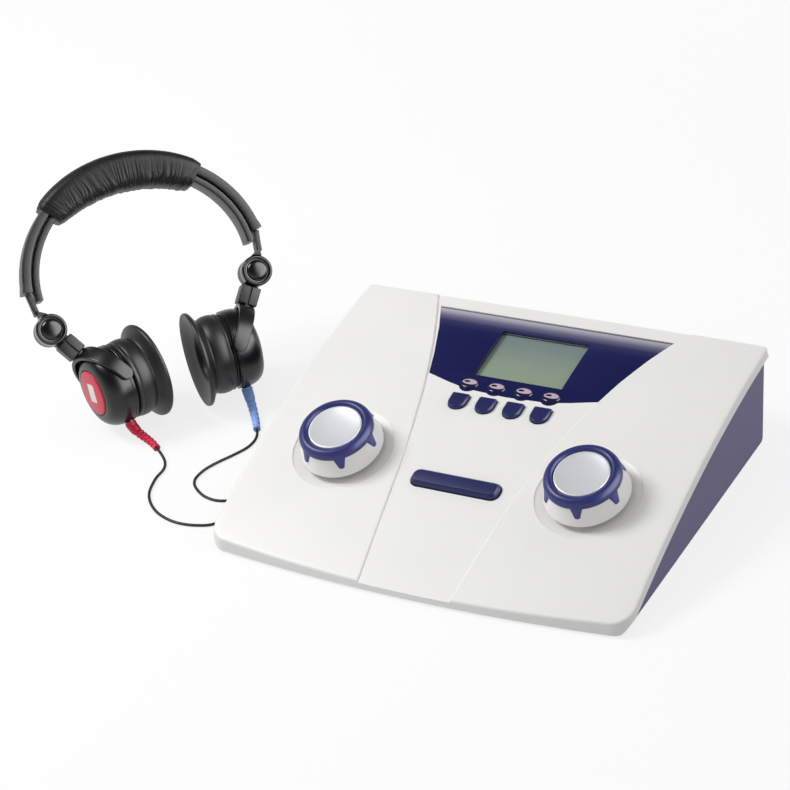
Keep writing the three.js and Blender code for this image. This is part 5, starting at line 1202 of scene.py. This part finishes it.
CORD_LAY = 1.15
BOOT_RADIUS, BOOT_TIP, BOOT_STEPS, BOOT_SIDES = 3.7, 2.5, 120, 32
RIBS, RIBS_START, RIBS_END, RIB_DEPTH = 6, 0.3, 0.95, 0.7
cord_starts = {"red": ((-241.3, -27.3), (-234.6, -32.2)), "blue": ((-187.3, 14.8), (-184.2, 9.8))}
boot_finishes = {
    "red": boot_vinyl("boot_red_vinyl", "#da2850"),
    "blue": boot_vinyl("boot_blue_vinyl", "#93b6fb"),
}
for colour, side in sides.items():
    cup = cups[colour]
    down = (cup.to_3x3() @ Vector((0, -1, 0))).normalized()
    start = cup @ Vector((side * OUTLET_X, PIVOT_Y - BODY - 0.7, 0))
    first, second = (Vector((*point, CORD_LAY)) for point in cord_starts[colour])
    back = (first - second).normalized()
    tip = first + Vector((0, 0, 1.1)) + back * 0.3
    pull = tip + back * 12 + Vector((0, 0, 1.6))
    push = start + down * 9
    line = []
    for i in range(BOOT_STEPS + 1):
        t = i / BOOT_STEPS
        early = start * (1 - t) ** 3 + 3 * push * t * (1 - t) ** 2
        line.append(early + 3 * pull * t * t * (1 - t) + tip * t**3)
    normal = Vector((0, 0, 1)).cross(down).normalized()
    rings = []
    for i, centre in enumerate(line):
        way = (line[min(i + 1, BOOT_STEPS)] - line[max(i - 1, 0)]).normalized()
        normal = (normal - way * normal.dot(way)).normalized()
        other = way.cross(normal)
        share = i / BOOT_STEPS
        radius = BOOT_RADIUS + (BOOT_TIP - BOOT_RADIUS) * share
        if share < RIBS_START:
            radius += 0.25 * min((RIBS_START - share) / 0.04, 1)
        elif share < RIBS_END:
            wave = math.cos((share - RIBS_START) / 0.65 * 2 * math.pi * RIBS)
            radius -= RIB_DEPTH * (0.5 - 0.5 * wave) ** 2
        turns = [2 * math.pi * k / BOOT_SIDES for k in range(BOOT_SIDES)]
        rings.append([centre + radius * (normal * math.cos(turn) + other * math.sin(turn)) for turn in turns])
    finished(f"{colour}_cord_boot", skinned(rings), boot_finishes[colour], f"{colour}_earpiece",
             [f"{colour}_boot"], TO_ROW, crease=50)


# The headset's cords: a limp moulded PVC lead from each ear cup to a moulded split, and one thicker lead
# from there, put away in a neat coil behind the console, to the plug in its rear wall.
BRANCH_RADIUS, LEAD_RADIUS = 1.0, 1.75
# Soft PVC cord jacket: dark and satin, with a faint extrusion texture
cord_jacket = moulded("cord_pvc_jacket", "#242426", 0.45, 0.9, 0.03)
# Each branch runs over the table from the tip of its boot, under the cover's left lip and along the wall
red_route = [
    *cord_starts["red"], (-227.7, -38.8), (-223.9, -46.1), (-222.7, -58), (-217.5, -73.9),
    (-210.3, -83.6), (-199.8, -91.9), (-187.3, -96.9), (-177.4, -98.1), (-166.6, -96.6), (-157, -92.4),
    (-151.6, -84), (-150.3, -72), (-150.3, -20), (-150.3, 40), (-150.3, 86), (-149.4, 98), (-146.3, 107),
    (-142.2, 112), (-139.4, 114.2), (-138.8, 116.4),
]
blue_route = [
    *cord_starts["blue"], (-182.6, 4), (-182.7, -5), (-187, -16.2), (-192.7, -27.7), (-196.4, -38.4),
    (-196.6, -49.4), (-193.6, -55.6), (-187.2, -61.4), (-178.2, -66.2), (-168, -67.4), (-159.6, -63.6),
    (-155.6, -55), (-154.6, -43), (-154.6, 0), (-154.6, 50), (-154.4, 84), (-152.8, 97), (-149.2, 106.6),
    (-144.4, 112.6), (-143.2, 116.4),
]


def laid_cord(name, line, radius, nodes):
    """A round cord along the line, in the row's metres."""
    data = bpy.data.curves.new(name, "CURVE")
    data.dimensions = "3D"
    data.bevel_depth = radius * 0.001
    data.bevel_resolution = 4
    data.use_fill_caps = True
    spline = data.splines.new("POLY")
    spline.points.add(len(line) - 1)
    for point, place in zip(spline.points, line):
        point.co = (*(TO_ROW @ Vector(place)), 1)
    data.materials.append(cord_jacket)
    cord = bpy.data.objects.new(name, data)
    scene.collection.objects.link(cord)
    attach(cord, "console")
    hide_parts(*nodes)
    return cord


for colour, route, reach in (("red", red_route, 0.340), ("blue", blue_route, 0.298)):
    # The branch lies on the table, and its first points rise to the tip of its boot
    rise = [1.1, 0.55] + [0] * (len(route) - 2)
    branch_line = smooth_path([(x, y, CORD_LAY + up) for (x, y), up in zip(route, rise)])[::-1]
    branch = laid_cord(f"{colour}_branch_cord", branch_line, BRANCH_RADIUS, [f"{colour}_cord"])

# The coil winds in and out again, two turns to a layer, and climbs a layer at each reversal
COIL_CENTRE = Vector((-116.5, 145, 1.9))
COIL_INNER, COIL_PITCH, COIL_STEPS = 16.5, 4, 36
coil_line = []
for i in range(8 * COIL_STEPS + 10):
    turns = i / COIL_STEPS
    layer = min(int(turns // 2), 3)
    inward = turns - 2 * layer if layer % 2 else 2 - turns + 2 * layer
    climb = sum(min(max((turns - 2 * k + 0.25) / 0.5, 0), 1) for k in (1, 2, 3))
    angle = math.pi - 2 * math.pi * turns
    reach = COIL_INNER + COIL_PITCH * inward
    spot = Vector((reach * math.cos(angle), reach * math.sin(angle), COIL_PITCH * climb))
    coil_line.append(COIL_CENTRE + spot)
coil_line.insert(0, coil_line[0] - Vector((0, 8, 0)))
tail_line = smooth_path([
    (-112.7, 170.5, 13.9), (-108.9, 170.5, 13.95), (-100.5, 169.2, 15.2), (-92.5, 164.4, 18.2),
    (-87.6, 157.6, 21.4), (-86, 150.5, 23.6), (-86, 146.9, 23.85), (-86, 143.45, 24.1),
])
lead_line = (coil_line + tail_line)[::-1]
lead = laid_cord("main_lead", lead_line, LEAD_RADIUS, ["lead_coil", "lead_tail"])


# Split: a small block of soft black rubber, moulded over the three cords where they meet, with a waist
# towards the lead. It lies on the table behind the console.
split_outline = ring_section([(-4.5, 0), (4.5, 0), (4.5, 9), (2.7, 20), (-2.7, 20), (-4.5, 9)], 1.6)
split_layers = ((0.9, 0.15), (1.0, 0.75), (1.0, 4.15), (0.9, 4.75))
split = skinned([
    [(x * share, 10 + (y - 10) * share, z) for x, y in split_outline] for share, z in split_layers
])
split = placed(split, Matrix.Translation((-141, 116.7, 0)))
cord_split = finished("cord_split_block", split, foot_rubber, "console", ["cord_split"])


# Plug: a straight handle of black nylon with grip rings and a short sleeve, moulded round a plated steel pin
# with a groove near its tip, and pushed home in the headset socket.
plug_profile = [(0, 2.8), (5.3, 2.8), (5.5, 3.1), (5.5, 7.0)]
for k in range(6):
    low = 7.4 + 2 * k
    plug_profile += [(5.5, low), (5.05, low + 0.3), (5.05, low + 0.9), (5.5, low + 1.2)]
plug_profile += [(5.5, 20.4), (4.6, 22.0), (3.4, 24.6), (2.95, 28.0), (2.8, 33.6), (2.5, 34), (0, 34)]
plug_place = TO_ROW @ rear_place @ Matrix.Translation((SOCKET_X, 0, FITTING_HEIGHT)) @ outward_face
plug = finished("headset_plug_handle", turned(plug_profile, 64), fitting_nylon, "console", ["headset_plug"],
                plug_place)
pin_profile = [
    (0, -26), (1.6, -26), (2.4, -24.6), (3.1, -22.5), (2.5, -21), (3.1, -19.5), (3.1, 3.0), (0, 3.0),
]
plug_pin = turned(pin_profile, 48)
finished("headset_plug_pin", plug_pin, zinc_steel, "console", [], plug_place.copy())


# The table: a plain pale floor. The camera and mirrors see it nearly white, and quite white far off, so that
# it keeps the object's shadow and has no edge; the light that it throws back is that of pale grey paper.
FLOOR_HALF = 6
floor_corners = [(x * FLOOR_HALF, y * FLOOR_HALF, 0) for x, y in ((-1, -1), (1, -1), (1, 1), (-1, 1))]
floor_mesh = bpy.data.meshes.new("floor")
floor_mesh.from_pydata(floor_corners, [], [(0, 1, 2, 3)])
floor = bpy.data.objects.new("floor", floor_mesh)
scene.collection.objects.link(floor)
floor_paper = bpy.data.materials.new("floor_pale_paper")
floor_paper.use_nodes = True
tree = floor_paper.node_tree
tree.nodes.clear()
ray = add_node(tree, "ShaderNodeLightPath").outputs
straight = {0: ray["Is Camera Ray"], 1: ray["Is Glossy Ray"]}
straight = add_node(tree, "ShaderNodeMath", straight, operation="MAXIMUM")
kinds = {0: straight.outputs[0], 1: ray["Is Transmission Ray"]}
sight = add_node(tree, "ShaderNodeMath", kinds, operation="MAXIMUM")
spot = add_node(tree, "ShaderNodeTexCoord").outputs["Object"]
away = add_node(tree, "ShaderNodeVectorMath", {0: spot}, operation="LENGTH").outputs[1]
share = add_node(tree, "ShaderNodeMapRange", {0: away, 1: 0.5, 2: 1.4, 3: 0.8}).outputs[0]
whitened = add_node(tree, "ShaderNodeMath", {0: sight.outputs[0], 1: share}, operation="MULTIPLY")
paper = add_node(tree, "ShaderNodeMix", {0: sight.outputs[0], 6: srgb("#bebebe"), 7: srgb("#f6f6f6")},
                 data_type="RGBA")
matt = add_node(tree, "ShaderNodeBsdfDiffuse", {"Color": paper.outputs[2]})
glow = add_node(tree, "ShaderNodeEmission", {"Color": (1, 1, 1, 1), "Strength": 1.0})
blend = {0: whitened.outputs[0], 1: matt.outputs[0], 2: glow.outputs[0]}
mixed = add_node(tree, "ShaderNodeMixShader", blend)
add_node(tree, "ShaderNodeOutputMaterial", {0: mixed.outputs[0]})
floor_mesh.materials.append(floor_paper)

# Studio light: an even pale surround, with a broad soft lamp above the console's front left and a weak long
# one behind it to the right. In mirror reflections the surround is bright at the horizon, dark overhead, and
# has a panel that glows low to the right and draws the highlights along the dark pieces.
world = bpy.data.worlds.new("studio")
scene.world = world
world.use_nodes = True
tree = world.node_tree
tree.nodes.clear()
ray = add_node(tree, "ShaderNodeLightPath").outputs
kinds = {0: ray["Is Camera Ray"], 1: ray["Is Transmission Ray"]}
sight = add_node(tree, "ShaderNodeMath", kinds, operation="MAXIMUM")
surround = add_node(tree, "ShaderNodeBackground", {"Color": (0.52, 0.52, 0.53, 1), "Strength": 1.0})
way = add_node(tree, "ShaderNodeTexCoord").outputs["Object"]
rise = add_node(tree, "ShaderNodeSeparateXYZ", {0: way}).outputs[2]
overhead = add_node(tree, "ShaderNodeMapRange", {0: rise, 1: 0.0, 2: 0.5, 3: 0.8, 4: 0.08}).outputs[0]
PANEL_WAY, PANEL_STRENGTH = (0.975, 0.17, 0.13), 6.0
flattened = add_node(tree, "ShaderNodeVectorMath", {0: way, 1: (1, 1, 0.3)}, operation="MULTIPLY").outputs[0]
flattened = add_node(tree, "ShaderNodeVectorMath", {0: flattened}, operation="NORMALIZE").outputs[0]
beside = add_node(tree, "ShaderNodeVectorMath", {0: flattened, 1: PANEL_WAY}, operation="DOT_PRODUCT")
panel_edges = {0: beside.outputs[1], 1: 0.7, 2: 0.92, 4: PANEL_STRENGTH}
panel_glow = add_node(tree, "ShaderNodeMapRange", panel_edges, interpolation_type="SMOOTHSTEP").outputs[0]
both = add_node(tree, "ShaderNodeMath", {0: overhead, 1: panel_glow}, operation="ADD").outputs[0]
mirrored = add_node(tree, "ShaderNodeBackground", {"Color": (1, 1, 1, 1), "Strength": both})
white = add_node(tree, "ShaderNodeBackground", {"Color": (1, 1, 1, 1), "Strength": 1.0})
by_mirror = {0: ray["Is Glossy Ray"], 1: surround.outputs[0], 2: mirrored.outputs[0]}
lit = add_node(tree, "ShaderNodeMixShader", by_mirror)
seen = add_node(tree, "ShaderNodeMixShader", {0: sight.outputs[0], 1: lit.outputs[0], 2: white.outputs[0]})
add_node(tree, "ShaderNodeOutputWorld", {0: seen.outputs[0]})


def soft_lamp(name, place, aim, width, depth, power):
    """A rectangular lamp at a place in metres, turned towards its aim."""
    lamp = bpy.data.lights.new(name, "AREA")
    lamp.shape = "RECTANGLE"
    lamp.size, lamp.size_y = width, depth
    lamp.energy = power
    stand = bpy.data.objects.new(name, lamp)
    scene.collection.objects.link(stand)
    stand.location = place
    stand.rotation_euler = (Vector(place) - Vector(aim)).to_track_quat("Z", "Y").to_euler()


soft_lamp("key_lamp", (-0.97, -0.29, 1.23), (0.0, 0.0, 0.03), width=0.5, depth=0.6, power=16)
soft_lamp("edge_lamp", (0.9, 0.6, 0.7), (0.1, 0.1, 0.05), width=0.3, depth=0.9, power=1.0)
